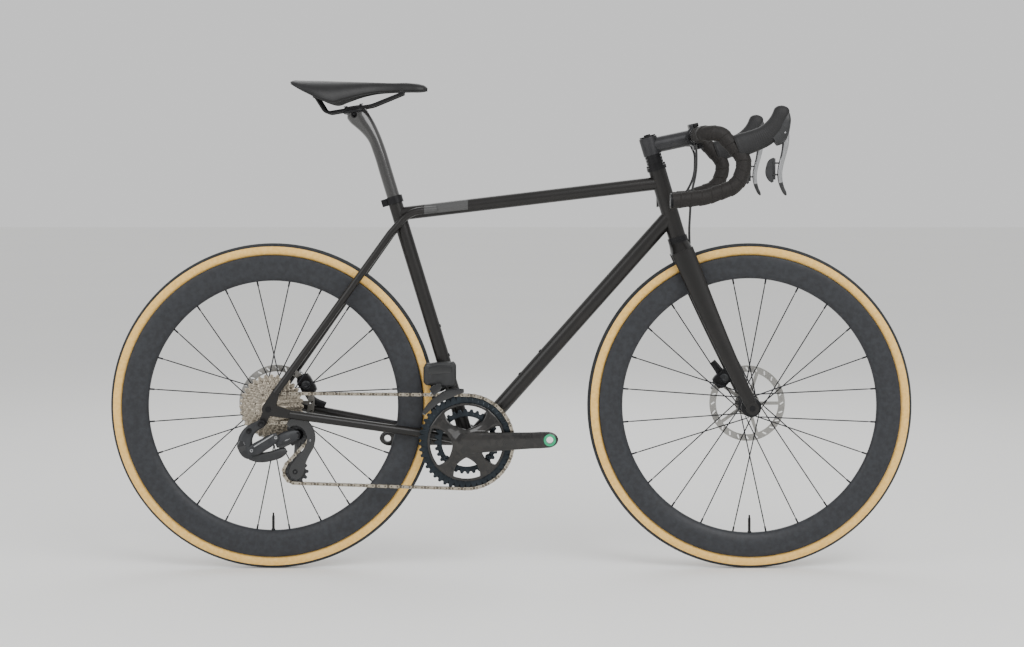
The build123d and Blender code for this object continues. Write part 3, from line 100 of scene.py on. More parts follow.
def framesAlong(path, across):
    # tangent from neighbours; the side vector is kept square to it as the path turns
    tangent = np.gradient(path, axis=0)
    tangent /= np.linalg.norm(tangent, axis=1)[:, None]
    side = np.empty_like(path)
    last = np.asarray(across, float)
    for i, t in enumerate(tangent):
        last = last - t * (last @ t)
        last = last / np.linalg.norm(last)
        side[i] = last
    return tangent, side, np.cross(tangent, side)


def superRing(count, power):
    # points of |x|^power + |y|^power = 1, by angle
    t = np.linspace(0, 2 * np.pi, count, endpoint=False)
    c, s = np.cos(t), np.sin(t)
    return np.sign(c) * np.abs(c) ** (2 / power), np.sign(s) * np.abs(s) ** (2 / power)


def loft(path, halfSide, halfUp, across, count=32, power=2.4):
    # rings of that half width and half height, square to a path, as a grid
    _, side, up = framesAlong(path, across)
    x, y = superRing(count, power)
    halfSide = np.broadcast_to(halfSide, len(path))
    halfUp = np.broadcast_to(halfUp, len(path))
    return (path[:, None] + side[:, None] * (halfSide[:, None] * x)[..., None]
            + up[:, None] * (halfUp[:, None] * y)[..., None])


def gridFaces(nu, nv, closeU=False, closeV=True):
    i = np.arange(nu if closeU else nu - 1)[:, None]
    j = np.arange(nv if closeV else nv - 1)[None]
    i2, j2 = (i + 1) % nu, (j + 1) % nv
    quads = np.stack([i * nv + j, i2 * nv + j, i2 * nv + j2, i * nv + j2], axis=-1)
    return quads.reshape(-1, 4)


def facing(verts, quads):
    # the sign of the volume that the quads enclose: negative is inside out
    a, b, c, d = (verts[quads[:, k]] for k in range(4))
    return np.einsum("ij,ij->i", a, np.cross(b, c)).sum() + \
        np.einsum("ij,ij->i", a, np.cross(c, d)).sum()


def tube(points, closeU=False):
    # one closed shell from a grid of rings
    nu, nv = points.shape[:2]
    verts = points.reshape(-1, 3)
    quads = gridFaces(nu, nv, closeU)
    centre = verts.mean(axis=0)
    caps = []
    if not closeU:
        caps = [list(range(nv))[::-1], list(range((nu - 1) * nv, nu * nv))]
    if facing(verts - centre, quads) < 0:
        quads = quads[:, ::-1]
        caps = [c[::-1] for c in caps]
    return verts, quads, caps


def piece(name, shells, body, materials, replaces=(), tag=None, smooth=True):
    # joins shells into one object; tag gives each quad its material number
    verts, faces, at0, marks = [], [], 0, []
    for k, (v, quads, caps) in enumerate(shells):
        verts.append(v)
        faces += (quads + at0).tolist() + [[i + at0 for i in c] for c in caps]
        marks += list(tag[k]) if tag is not None else [0] * len(quads)
        marks += [marks[-1]] * len(caps)
        at0 += len(v)
    mesh = bpy.data.meshes.new(name)
    mesh.from_pydata(np.concatenate(verts).tolist(), [], faces)
    for m in materials:
        mesh.materials.append(m)
    mesh.polygons.foreach_set("material_index", np.array(marks, dtype=np.int32))
    mesh.polygons.foreach_set("use_smooth", np.full(len(faces), smooth))
    mesh.update()
    obj = bpy.data.objects.new(name, mesh)
    bpy.context.scene.collection.objects.link(obj)
    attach(obj, body)
    if replaces:
        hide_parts(*replaces)
    return obj


def tagged(shells, marks):
    # one material number for each shell, repeated for its quads
    return [[m] * len(s[1]) for s, m in zip(shells, marks)]


def mirrorShell(shell):
    verts, quads, caps = shell
    return verts * (1, -1, 1), quads[:, ::-1], [c[::-1] for c in caps]


def moulded(obj, voxel, smoothing, factor=0.5):
    # overlapping shells become one moulded body with soft corners between them
    remesh = obj.modifiers.new("mould", "REMESH")
    remesh.mode, remesh.voxel_size, remesh.use_smooth_shade = "VOXEL", voxel, True
    soften = obj.modifiers.new("soften", "SMOOTH")
    soften.iterations, soften.factor = smoothing, factor
    deps = bpy.context.evaluated_depsgraph_get()
    mesh = bpy.data.meshes.new_from_object(obj.evaluated_get(deps))
    obj.modifiers.clear()
    for m in obj.data.materials:
        if m.name not in [x.name for x in mesh.materials if x]:
            mesh.materials.append(m)
    obj.data = mesh
    mesh.polygons.foreach_set("use_smooth", np.full(len(mesh.polygons), True))


def revolved(centre, profile, steps):
    # profile rows are radius and distance to the left, turned about the axle
    profile = np.asarray(profile, float)
    a = np.linspace(0, 2 * np.pi, steps, endpoint=False)[:, None]
    r, y = profile[None, :, 0], profile[None, :, 1]
    return np.stack([centre[0] + r * np.cos(a), centre[1] + y + 0 * a,
                     centre[2] + r * np.sin(a)], axis=-1)


def turned(centre, profile, steps):
    return tube(revolved(centre, profile, steps), closeU=True)


def barAlong(path, half, steps, across=(0, 1, 0)):
    # a round bar whose radius is given along the path
    return tube(loft(path, half, half, across, steps, 2))


# materials
def linear(hexCode):
    c = np.array([int(hexCode[i:i + 2], 16) for i in (1, 3, 5)]) / 255
    c = np.where(c <= 0.04045, c / 12.92, ((c + 0.055) / 1.055) ** 2.4)
    return (*c.tolist(), 1.0)


def addNode(material, kind, settings=(), links=()):
    node = material.node_tree.nodes.new(kind)
    for key, value in settings:
        if isinstance(key, int) or key in node.inputs:
            node.inputs[key].default_value = value
        else:
            setattr(node, key, value)
    for key, (source, output) in links:
        material.node_tree.links.new(source.outputs[output], node.inputs[key])
    return node


def emptyMaterial(name):
    m = bpy.data.materials.new(name)
    m.use_nodes = True
    m.node_tree.nodes.clear()
    return m


def finish(name, colour, second=None, metallic=0.0, roughness=0.4, spread=0.1, grain=1.0,
           depth=0.0, mottle=20.0, coat=0.0, coatRoughness=0.05, sheen=0.0, stretch=(1, 1, 1),
           pattern="noise", specular=0.5):
    # grain and mottle are real sizes in millimetres; depth is the bump height in millimetres
    m = emptyMaterial(name)
    coords = addNode(m, "ShaderNodeTexCoord")
    mapping = addNode(m, "ShaderNodeMapping", [("Scale", stretch)],
                      [("Vector", (coords, "Object"))])
    wide = addNode(m, "ShaderNodeTexNoise", [("Scale", 1000 / mottle), ("Detail", 4.0)],
                   [("Vector", (mapping, "Vector"))])
    if pattern == "cells":
        fine = addNode(m, "ShaderNodeTexVoronoi", [("Scale", 1000 / grain)],
                       [("Vector", (mapping, "Vector"))])
        fineOut = (fine, "Distance")
    else:
        fine = addNode(m, "ShaderNodeTexNoise", [("Scale", 1000 / grain), ("Detail", 6.0)],
                       [("Vector", (mapping, "Vector"))])
        fineOut = (fine, "Fac")
    ramp = addNode(m, "ShaderNodeValToRGB", (), [("Fac", (wide, "Fac"))])
    ramp.color_ramp.elements[0].position, ramp.color_ramp.elements[1].position = 0.35, 0.68
    ramp.color_ramp.elements[0].color = linear(colour)
    ramp.color_ramp.elements[1].color = linear(second or colour)
    rough = addNode(m, "ShaderNodeMapRange", [("To Min", max(0.02, roughness - spread / 2)),
                                              ("To Max", roughness + spread / 2)],
                    [("Value", fineOut)])
    shader = addNode(m, "ShaderNodeBsdfPrincipled",
                     [("Metallic", metallic), ("Coat Weight", coat),
                      ("Specular IOR Level", specular), ("Coat Roughness", coatRoughness),
                      ("Sheen Weight", sheen)],
                     [("Base Color", (ramp, "Color")), ("Roughness", (rough, "Result"))])
    if depth:
        bump = addNode(m, "ShaderNodeBump", [("Strength", 1.0), ("Distance", depth * mm)],
                       [("Height", fineOut)])
        m.node_tree.links.new(bump.outputs["Normal"], shader.inputs["Normal"])
    addNode(m, "ShaderNodeOutputMaterial", (), [("Surface", (shader, "BSDF"))])
    return m


def shaderOf(m):
    return next(n for n in m.node_tree.nodes if n.type == "BSDF_PRINCIPLED")


# satin lacquer over carbon tubes: near black, broad soft highlights, faint orange peel
framePaint = finish("satinLacquer", "#151413", "#1a1817", roughness=0.34, spread=0.08, grain=0.9,
                    depth=0.004, mottle=60, coat=0.12, coatRoughness=0.16, specular=0.3)
# the same lacquer with a lighter grey band sprayed over the upper top tube
bandedPaint = framePaint.copy()
bandedPaint.name = "satinLacquerGreyBand"
# clear-coated carbon: deep black with a sharp reflection over a soft weave
glossCarbon = finish("clearCoatedCarbon", "#0f0e0e", "#1c1a19", roughness=0.32, spread=0.1,
                     grain=1.6, depth=0.0, mottle=2.2, coat=1.0, coatRoughness=0.04,
                     stretch=(1, 1, 0.35))
# pressed chopped carbon: flakes that lie at all angles and shine differently
flakeCarbon = emptyMaterial("pressedFlakeCarbon")
# unpainted matt carbon: dark grey, soft sheen, very faint fibre direction
rimCarbon = finish("mattCarbon", "#28292c", "#303236", roughness=0.46, spread=0.12, grain=0.8,
                   depth=0.003, mottle=9, specular=0.3)
# natural tan cotton casing under clear rubber: slightly uneven, dry
tanCasing = finish("tanCottonCasing", "#e3b45c", "#efc473", roughness=0.72, spread=0.15, grain=0.7,
                   depth=0.05, mottle=7)
# tread rubber: charcoal, matt, finely pebbled
treadRubber = finish("treadRubber", "#26282a", "#2e3032", roughness=0.78, spread=0.2, grain=1.4,
                     depth=0.12, mottle=12, pattern="cells", specular=0.3)
# black anodised aluminium: even satin with a slight metallic edge
blackAnodised = finish("blackAnodisedAluminium", "#0f0f11", "#161618", metallic=0.35,
                       roughness=0.38, spread=0.12, grain=0.3, depth=0.004, mottle=18,
                       specular=0.35)
# bead-blasted stem: a dark grey satin, a little lighter than the bar
satinStem = finish("beadBlastedStem", "#2a2a2c", "#333335", metallic=0.45, roughness=0.36,
                   spread=0.12, grain=0.35, depth=0.006, mottle=20)
# black-oxide spoke steel: dark with narrow highlights
spokeSteel = finish("blackSpokeSteel", "#232326", "#2d2d31", metallic=0.9, roughness=0.32,
                    spread=0.1, grain=0.5, mottle=30)
# ground stainless brake disc: pale, with fine arcs from grinding
groundSteel = finish("groundStainless", "#8b8a87", "#a3a19d", metallic=1.0, roughness=0.34,
                     spread=0.2, grain=0.5, depth=0.01, mottle=3, stretch=(1, 1, 4))
# nickel-plated chain steel: warm silver, bright, slightly smeared with lubricant
platedSteel = finish("nickelPlatedSteel", "#8f887b", "#b1a99c", metallic=1.0, roughness=0.27,
                     spread=0.18, grain=0.8, depth=0.004, mottle=5)
# inner links and rollers: the same steel, darker with oil
darkLink = finish("oiledLinkSteel", "#57524a", "#746d63", metallic=1.0, roughness=0.36,
                  spread=0.18, grain=0.8, mottle=5)
# machined sprocket steel, nickel finish, a touch warmer and duller than the chain
cogSteel = finish("machinedSprocketSteel", "#847c70", "#aba293", metallic=1.0, roughness=0.33,
                  spread=0.16, grain=0.6, depth=0.006, mottle=6)
# blue-black hard anodised ring: cool satin
ringAnodised = finish("hardAnodisedRing", "#1c2227", "#262d33", metallic=0.65, roughness=0.33,
                      spread=0.1, grain=0.4, depth=0.003, mottle=25)
# green anodised washer: saturated, metallic
greenAnodised = finish("greenAnodised", "#31a273", "#40b483", metallic=0.75, roughness=0.3,
                       spread=0.1, grain=0.4, mottle=8)
# grey anodised derailleur body: fine bead-blasted texture
greyAlloy = finish("beadBlastedGreyAlloy", "#2c2d2f", "#363739", metallic=0.55, roughness=0.46,
                   spread=0.14, grain=0.35, depth=0.012, mottle=14)
# polished black cage plate
glossBlack = finish("polishedBlackPlate", "#121315", "#191a1c", metallic=0.3, roughness=0.22,
                    spread=0.06, grain=0.6, mottle=20, coat=0.6)
# acetal pulley resin: black, slightly waxy
pulleyResin = finish("acetalPulley", "#17181a", "#202123", roughness=0.5, spread=0.15, grain=0.5,
                     depth=0.01, mottle=5)
# silicone hood rubber: very matt with a fine pebble
hoodRubber = finish("siliconeHoodRubber", "#1a1a1b", "#202021", roughness=0.6, spread=0.16,
                    grain=1.1, depth=0.06, mottle=25, pattern="cells", specular=0.35)
# glass-filled nylon bracket: dull black
leverResin = finish("glassFilledNylon", "#18191a", "#212224", roughness=0.5, spread=0.15,
                    grain=0.4, depth=0.015, mottle=10)
# satin aluminium lever face: pale, brushed along the blade
satinAlloy = finish("brushedLeverAlloy", "#9a9b9d", "#b4b5b6", metallic=1.0, roughness=0.3,
                    spread=0.16, grain=0.5, depth=0.006, mottle=4, stretch=(3, 3, 0.4))
# cork-blend bar tape: soft, dark brown-black with flecks
corkTape = finish("corkBlendTape", "#161413", "#221f1d", roughness=0.62, spread=0.12, grain=0.9,
                  depth=0.10, mottle=2.6, specular=0.3)
# smooth microfibre saddle cover: black, slight sheen, fine creases
saddleSkin = finish("microfibreSaddleCover", "#161617", "#1c1c1d", roughness=0.46, spread=0.16,
                    grain=0.8, depth=0.035, mottle=18, pattern="cells", specular=0.35)
# moulded saddle shell and caps
blackResin = finish("mouldedBlackResin", "#161617", "#1f1f20", roughness=0.42, spread=0.14,
                    grain=0.7, depth=0.015, mottle=16)
# hydraulic hose jacket
hoseJacket = finish("hoseJacket", "#121213", "#1b1b1c", roughness=0.4, spread=0.1, grain=0.6,
                    mottle=12)
# bright zinc bolt
boltSteel = finish("zincPlatedBolt", "#8e8f91", "#a5a6a8", metallic=1.0, roughness=0.28,
                   spread=0.12, grain=0.4, mottle=3)


def buildBand():
    # the band runs along the upper top tube, between two places along the bicycle
    band = {"from": -0.182, "to": -0.091, "edge": 0.0006, "colour": "#474747",
            "low": 0.7600, "slope": -0.107}
    m = bandedPaint
    shader = shaderOf(m)
    base = shader.inputs["Base Color"].links[0].from_node
    coords = next(n for n in m.node_tree.nodes if n.type == "TEX_COORD")
    split = addNode(m, "ShaderNodeSeparateXYZ", (), [("Vector", (coords, "Object"))])
    start = addNode(m, "ShaderNodeMapRange", [("From Min", band["from"]),
                                              ("From Max", band["from"] + band["edge"])],
                    [("Value", (split, "X"))])
    end = addNode(m, "ShaderNodeMapRange", [("From Min", band["to"] + band["edge"]),
                                            ("From Max", band["to"])], [("Value", (split, "X"))])
    level = addNode(m, "ShaderNodeMath", [("operation", "MULTIPLY_ADD"), (1, band["slope"])],
                    [(0, (split, "X")), (2, (split, "Z"))])
    high = addNode(m, "ShaderNodeMapRange", [("From Min", band["low"]),
                                             ("From Max", band["low"] + band["edge"])],
                   [("Value", (level, "Value"))])
    both = addNode(m, "ShaderNodeMath", [("operation", "MULTIPLY")],
                   [(0, (start, "Result")), (1, (end, "Result"))])
    three = addNode(m, "ShaderNodeMath", [("operation", "MULTIPLY")],
                    [(0, (both, "Value")), (1, (high, "Result"))])
    mix = addNode(m, "ShaderNodeMix", [("data_type", "RGBA")],
                  [("Factor", (three, "Value")), (6, (base, "Color"))])
    mix.inputs[7].default_value = linear(band["colour"])
    m.node_tree.links.new(mix.outputs[2], shader.inputs["Base Color"])


def buildFlakes():
    m = flakeCarbon
    coords = addNode(m, "ShaderNodeTexCoord")
    warp = addNode(m, "ShaderNodeTexNoise", [("Scale", 60.0), ("Detail", 2.0)],
                   [("Vector", (coords, "Object"))])
    bent = addNode(m, "ShaderNodeVectorMath", [("operation", "MULTIPLY_ADD"),
                                               (1, (0.012, 0.012, 0.012))],
                   [(0, (warp, "Color")), (2, (coords, "Object"))])
    flakes = addNode(m, "ShaderNodeTexVoronoi", [("Scale", 1000 / 9.0)],
                     [("Vector", (bent, "Vector"))])  # chips about 9 mm across
    fibre = addNode(m, "ShaderNodeTexNoise", [("Scale", 1000 / 1.5), ("Detail", 5.0)],
                    [("Vector", (bent, "Vector"))])
    ramp = addNode(m, "ShaderNodeValToRGB", (), [("Fac", (flakes, "Color"))])
    ramp.color_ramp.elements[0].color = linear("#0b0a0a")
    ramp.color_ramp.elements[1].color = linear("#2b2825")
    mix = addNode(m, "ShaderNodeMix", [("data_type", "RGBA"), ("blend_type", "MULTIPLY"),
                                       ("Factor", 0.6)],
                  [(6, (ramp, "Color")), (7, (fibre, "Color"))])
    rough = addNode(m, "ShaderNodeMapRange", [("To Min", 0.22), ("To Max", 0.5)],
                    [("Value", (flakes, "Color"))])
    shader = addNode(m, "ShaderNodeBsdfPrincipled", [("Metallic", 0.2), ("Coat Weight", 0.6),
                                                     ("Specular IOR Level", 0.3),
                                                     ("Coat Roughness", 0.07)],
                     [("Base Color", (mix, 2)), ("Roughness", (rough, "Result"))])
    addNode(m, "ShaderNodeOutputMaterial", (), [("Surface", (shader, "BSDF"))])


buildBand()
buildFlakes()

cadFinishes = [
    (framePaint, ["head_tube", "down_tube", "seat_tube", "chain_stays", "dropouts", "fork"]),
    (bandedPaint, ["top_tube", "seat_stays"]),
    (satinStem, ["stem"]),
    (glossCarbon, ["seatpost"]),
    (blackAnodised, ["headset_cups", "headset_spacers", "seat_clamp", "stem_faceplate",
                     "handlebar", "front_caliper", "rear_caliper", "front_hub", "rear_hub",
                     "bottom_bracket_cups", "rear_thru_axle", "front_thru_axle",
                     "bottle_bosses", "saddle_rails"]),
    (groundSteel, ["front_rotor", "rear_rotor", "front_brake_pad", "rear_brake_pad"]),
    (rimCarbon, ["front_rim", "rear_rim"]),
    (treadRubber, ["front_tyre", "rear_tyre"]),
    (spokeSteel, ["front_spokes", "rear_spokes"]),
    (ringAnodised, ["big_chainring", "small_chainring"]),
    (greenAnodised, ["pedal_washers"]),
    (cogSteel, ["cassette"]),
    (platedSteel, ["chain"]),
    (flakeCarbon, ["right_crank_arm", "left_crank_arm"]),
    (greyAlloy, ["front_derailleur", "derailleur_mount", "derailleur_link",
                 "derailleur_knuckle"]),
    (glossBlack, ["front_derailleur_cage", "derailleur_cage"]),
    (pulleyResin, ["guide_pulley", "tension_pulley"]),
    (hoodRubber, ["hoods"]),
    (satinAlloy, ["right_brake_lever", "left_brake_lever"]),
    (leverResin, ["shifter_bodies", "right_shift_paddle", "left_shift_paddle"]),
    (corkTape, ["bar_tape"]),
    (hoseJacket, ["front_brake_hose", "rear_brake_hose"]),
    (saddleSkin, ["saddle_cover"]),
    (blackResin, ["saddle_shell"]),
]
for material, nodes in cadFinishes:
    for node in nodes:
        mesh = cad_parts[node].data
        mesh.materials.clear()
        mesh.materials.append(material)
print("finishes on the frame parts")

# tyres, rims and spokes
wheelShape = {"tyreRadius": 0.340, "tyreHalf": 0.014, "rimTop": 0.315, "rimHalf": 0.0148,
              "frontDepth": 0.049, "rearDepth": 0.054, "spokes": 24, "steps": 288,
              "bladeHalf": 0.00125, "bladeThin": 0.00050, "flange": 0.0222}


def buildTyre(side, centre):
    # a circle section; the tread stands a little proud of the casing with a small step
    w = wheelShape
    a = np.radians(np.linspace(-58, 238, 44))
    tread = np.sin(a) > 0.46
    r = w["tyreHalf"] - np.where(tread, 0.0, 0.00055)
    profile = np.stack([w["tyreRadius"] - w["tyreHalf"] + r * np.sin(a), r * np.cos(a)], axis=1)
    points = revolved(centre, profile, w["steps"])
    shell = tube(points, closeU=True)
    mark = np.tile(np.where(np.append(tread[1:] & tread[:-1], False), 1, 0), w["steps"])
    piece(side + "TyreCasing", [shell], side + "_wheel",
          [tanCasing, treadRubber], [side + "_tyre"], tag=[mark])


def buildRim(side, centre, depth):
    # a deep half ellipse below the shoulder, straight brake-less walls above it
    w = wheelShape
    shoulder = w["rimTop"] - 0.013
    t = np.linspace(np.pi, 2 * np.pi, 41)
    low = np.stack([shoulder + (depth - 0.013) * np.sin(t), w["rimHalf"] * np.cos(t)], axis=1)
    top = [(w["rimTop"] - 0.002, w["rimHalf"] - 0.0004), (w["rimTop"], w["rimHalf"] - 0.0012),
           (w["rimTop"] - 0.001, w["rimHalf"] - 0.003), (w["rimTop"] - 0.001, 0.003 - w["rimHalf"]),
           (w["rimTop"], 0.0012 - w["rimHalf"]), (w["rimTop"] - 0.002, 0.0004 - w["rimHalf"])]
    shells = [turned(centre, np.concatenate([low, top]), w["steps"])]
    stemPath = centre + arr(0, 0, -1) * np.linspace(w["rimTop"] - depth - 0.036,
                                                    w["rimTop"] - depth + 0.004, 24)[:, None]
    radius = np.where(np.arange(24) < 4, 0.0019, np.where(np.arange(24) < 20, 0.0029, 0.0042))
    shells.append(barAlong(stemPath, radius, 14, (1, 0, 0)))
    piece(side + "DeepRim", shells, side + "_wheel",
          [rimCarbon, blackAnodised], [side + "_rim"], tag=tagged(shells, (0, 1)))


def buildSpokes(side, centre, depth, flanges):
    # each spoke leaves its flange at a tangent; the blade is flat between two round ends
    w = wheelShape
    shells = []
    for k in range(w["spokes"]):
        flangeY = flanges[k % 2] * mm
        lean = (1, -1)[(k // 2) % 2]
        rimTurn = (k + 0.5) * 2 * np.pi / w["spokes"]
        hubTurn = rimTurn + lean * math.radians(56)
        inner = centre + arr(math.cos(hubTurn) * w["flange"], flangeY + lean * 0.0013,
                             math.sin(hubTurn) * w["flange"])
        reach = w["rimTop"] - depth + 0.002
        outer = centre + arr(math.cos(rimTurn) * reach, 0, math.sin(rimTurn) * reach)
        along = np.array([0, 0.012, 0.03, 0.05, 0.5, 0.92, 0.94, 0.952, 0.954, 0.985, 1.0])
        path = inner + (outer - inner) * along[:, None]
        wide = arr(1.0, 1.0, 1.0, 1.25, 1.25, 1.25, 1.0, 1.0, 1.9, 1.9, 1.9) * mm
        thin = arr(1.0, 1.0, 0.9, 0.5, 0.5, 0.5, 0.9, 1.0, 1.9, 1.9, 1.9) * mm
        shells.append(tube(loft(path, thin, wide, (0, 1, 0), 8, 2)))
    piece(side + "BladedSpokes", shells, side + "_wheel", [spokeSteel],
          [side + "_spokes"])


for side, axle, depth, flanges in (("front", "frontAxle", "frontDepth", (25.0, -33.0)),
                                   ("rear", "rearAxle", "rearDepth", (34.0, -17.0))):
    buildTyre(side, at(axle))
    buildRim(side, at(axle), wheelShape[depth])
    buildSpokes(side, at(axle), wheelShape[depth], flanges)
print("wheels built")

# toothed wheels and chain; cog offsets run inward from the outer one
drive = {"pitch": 0.0127, "bigTeeth": 48, "smallTeeth": 32, "pulleyTeeth": 12,
         "cogs": [11, 12, 13, 14, 15, 16, 17, 19, 22, 25, 28, 32], "usedCog": 4,
         "cogStep": 0.00355, "outerCogY": -0.0642, "cogThick": 0.0016, "smallY": -0.0405}


def pitchRadius(teeth):
    return drive["pitch"] / 2 / math.sin(math.pi / teeth)


def toothedRing(centre, teeth, inner, y, thick, height=0.0052, turn=0.0, samples=10, lip=0.0):
    # the rim radius rises and falls once a tooth; each tooth thins towards its tip
    a = np.linspace(0, 2 * np.pi, teeth * samples, endpoint=False)
    phase = np.cos((a - turn) * teeth)
    tip = pitchRadius(teeth) + height * (0.5 * np.tanh(2.2 * (phase + 0.12)) / 0.98)
    root = np.full_like(a, pitchRadius(teeth) - height * 0.55)
    half = thick / 2
    rows = [(np.full_like(a, inner), -half * 0.6), (np.full_like(a, inner), half * 0.6),
            (np.full_like(a, inner + 0.0006), half + lip), (root - 0.003, half + lip),
            (root, half), (tip - 0.0006, half * 0.62), (tip, half * 0.25), (tip, -half * 0.25),
            (tip - 0.0006, -half * 0.62), (root, -half), (np.full_like(a, inner + 0.0006), -half)]
    r = np.stack([row[0] for row in rows], axis=1)
    yy = np.array([row[1] for row in rows])[None] + 0 * r
    points = np.stack([centre[0] + r * np.cos(a)[:, None], y + yy,
                       centre[2] + r * np.sin(a)[:, None]], axis=-1)
    return tube(points, closeU=True)


def buildCassette():
    # twelve cogs with an open spider behind them and a lock ring in front
    centre = at("rearAxle")
    shells = []
    for k, teeth in enumerate(drive["cogs"]):
        y = drive["outerCogY"] + k * drive["cogStep"]
        inner = 0.0172 if k < 5 else pitchRadius(teeth) - 0.013
        shells.append(toothedRing(centre, teeth, inner, y, drive["cogThick"], samples=8))
    last = drive["outerCogY"] + 11 * drive["cogStep"]
    first = drive["outerCogY"]
    shells.append(turned(centre, [(0.0066, first - 0.002), (0.0166, first - 0.002),
                                  (0.0174, first - 0.001), (0.0174, last + 0.001),
                                  (0.0066, last + 0.001)], 64))
    for k in range(5, 12):
        y = drive["outerCogY"] + k * drive["cogStep"]
        reach = pitchRadius(drive["cogs"][k]) - 0.010
        for arm in range(6):
            a = arm * math.pi / 3 + k * 0.12
            path = centre + arr(0, y, 0) + arr(math.cos(a), 0, math.sin(a)) * \
                np.linspace(0.014, reach, 4)[:, None]
            shells.append(tube(loft(path, 0.0007, [0.004, 0.003, 0.003, 0.005], (0, 1, 0), 10, 4)))
    piece("cogStack", shells, "cassette_stack", [cogSteel], ["cassette"])


def tangentLine(a, ra, b, rb, sideA, sideB):
    # touches circle a on the side sideA of the line a-b and circle b on sideB
    d = b - a
    length = np.linalg.norm(d)
    along = d / length
    normal = arr(-along[1], along[0])
    lean = (ra * sideA - rb * sideB) / length
    n = along * lean + normal * math.sqrt(1 - lean**2)
    return a + n * ra * sideA, b + n * rb * sideB


def chainPath():
    # the pitch line: ring, cog, guide pulley, tension pulley and back, in side view
    flat = {k: at(k)[[0, 2]] for k in ("crank", "rearAxle", "guide", "tension")}
    pulley = pitchRadius(drive["pulleyTeeth"])
    radius = {"crank": pitchRadius(drive["bigTeeth"]),
              "rearAxle": pitchRadius(drive["cogs"][drive["usedCog"]]),
              "guide": pulley, "tension": pulley}
    order = [("crank", -1), ("rearAxle", -1), ("guide", 1), ("tension", -1)]
    out = []
    for i, (name, turn) in enumerate(order):
        before, after = order[i - 1], order[(i + 1) % 4]
        _, entry = tangentLine(flat[before[0]], radius[before[0]], flat[name], radius[name],
                               before[1], turn)
        leave, _ = tangentLine(flat[name], radius[name], flat[after[0]], radius[after[0]],
                               turn, after[1])
        a0 = math.atan2(*(entry - flat[name])[::-1])
        a1 = math.atan2(*(leave - flat[name])[::-1])
        sweep = (a1 - a0) % (2 * math.pi) if turn == -1 else -((a0 - a1) % (2 * math.pi))
        a = a0 + np.linspace(0, 1, 60) * sweep
        out.append(flat[name] + radius[name] * np.stack([np.cos(a), np.sin(a)], axis=1))
    loop = np.concatenate(out + [out[0][:1]])
    run = np.concatenate([[0], np.cumsum(np.linalg.norm(np.diff(loop, axis=0), axis=1))])
    return loop, run


def buildChain():
    # two flat plates with round ends and a waist, two rollers, repeated at the pitch
    loop, run = chainPath()
    count = int(round(run[-1] / drive["pitch"] / 2)) * 2
    s = np.arange(count + 1) * run[-1] / count
    pin = np.stack([np.interp(s, run, loop[:, k]) for k in range(2)], axis=1)
    tilt = (ringY - cogY) / (at("crank")[0] - at("rearAxle")[0])
    reachX = np.clip(pin[:, 0] - at("rearAxle")[0], 0, 0.41)
    pinY = np.where(pin[:, 0] > -0.20, ringY, cogY + tilt * reachX)
    a = np.linspace(0, 2 * np.pi, 20, endpoint=False)
    plate = np.stack([np.cos(a), np.sin(a)], axis=1)
    end = np.where(np.cos(a) > 0, 1.0, 0.0)
    waist = 1 - 0.28 * np.exp(-(np.cos(a) / 0.35) ** 2)
    shells = []
    for k in range(count):
        p, q = pin[k], pin[k + 1]
        u = (q - p) / np.linalg.norm(q - p)
        n = arr(-u[1], u[0])
        outer = k % 2 == 0
        high = 0.0042 if outer else 0.0040
        flat = (p + np.outer(end * drive["pitch"], u) + np.outer(plate[:, 0] * high, u)
                + np.outer(plate[:, 1] * high * waist, n))
        for sign in (-1, 1):
            y0 = pinY[k] + sign * (0.00185 if outer else 0.00105)
            y1 = y0 + sign * 0.0008
            rings = [np.stack([flat[:, 0], np.full(20, y), flat[:, 1]], axis=1) for y in (y0, y1)]
            shells.append(tube(np.stack(rings)))
        b = np.linspace(0, 2 * np.pi, 10, endpoint=False)
        ring = np.stack([p[0] + 0.0038 * np.cos(b), 0 * b, p[1] + 0.0038 * np.sin(b)], axis=1)
        shells.append(tube(np.stack([ring + arr(0, pinY[k] + y, 0) for y in (-0.0011, 0.0011)])))
        small = np.stack([p[0] + 0.0018 * np.cos(b), 0 * b, p[1] + 0.0018 * np.sin(b)], axis=1)
        shells.append(tube(np.stack([small + arr(0, pinY[k] + y, 0) for y in (-0.0031, 0.0031)])))
    marks = []
    for k in range(count):
        marks += [[0 if k % 2 == 0 else 1] * 20] * 2 + [[1] * 10] * 2
    piece("rollerChain", shells, "frame", [platedSteel, darkLink], ["chain"],
          tag=marks, smooth=False)


def buildRings():
    # the big ring is a deep toothed band with a raised inner lip; the small ring sits inboard
    centre = at("crank")
    big = [toothedRing(centre, drive["bigTeeth"], 0.0765, ringY, 0.0020, turn=crankTurn,
                       samples=12, lip=0.0010)]
    lip = revolved(centre, [(0.0756, ringY - 0.0016), (0.0766, ringY - 0.0016),
                            (0.0768, ringY - 0.0010), (0.0768, ringY), (0.0756, ringY)], 200)
    big.append(tube(lip, closeU=True))
    piece("bigToothedRing", big, "crankset", [ringAnodised, platedSteel],
          ["big_chainring"], tag=tagged(big, (0, 1)))
    smallY = drive["smallY"]
    small = [toothedRing(centre, drive["smallTeeth"], 0.052, smallY, 0.0020, turn=crankTurn,
                         samples=12)]
    for k in range(4):
        a = math.radians((38, 142, 218, 322)[k]) + crankTurn
        seat = centre + arr(math.cos(a), 0, math.sin(a)) * 0.055
        small.append(turned(seat, [(0.0001, smallY - 0.006), (0.0062, smallY - 0.006),
                                   (0.0066, smallY + 0.001), (0.0001, smallY + 0.0012)], 28))
    piece("smallToothedRing", small, "crankset", [ringAnodised],
          ["small_chainring"])


buildCassette()
buildChain()
buildRings()
print("drive wheels and chain built")

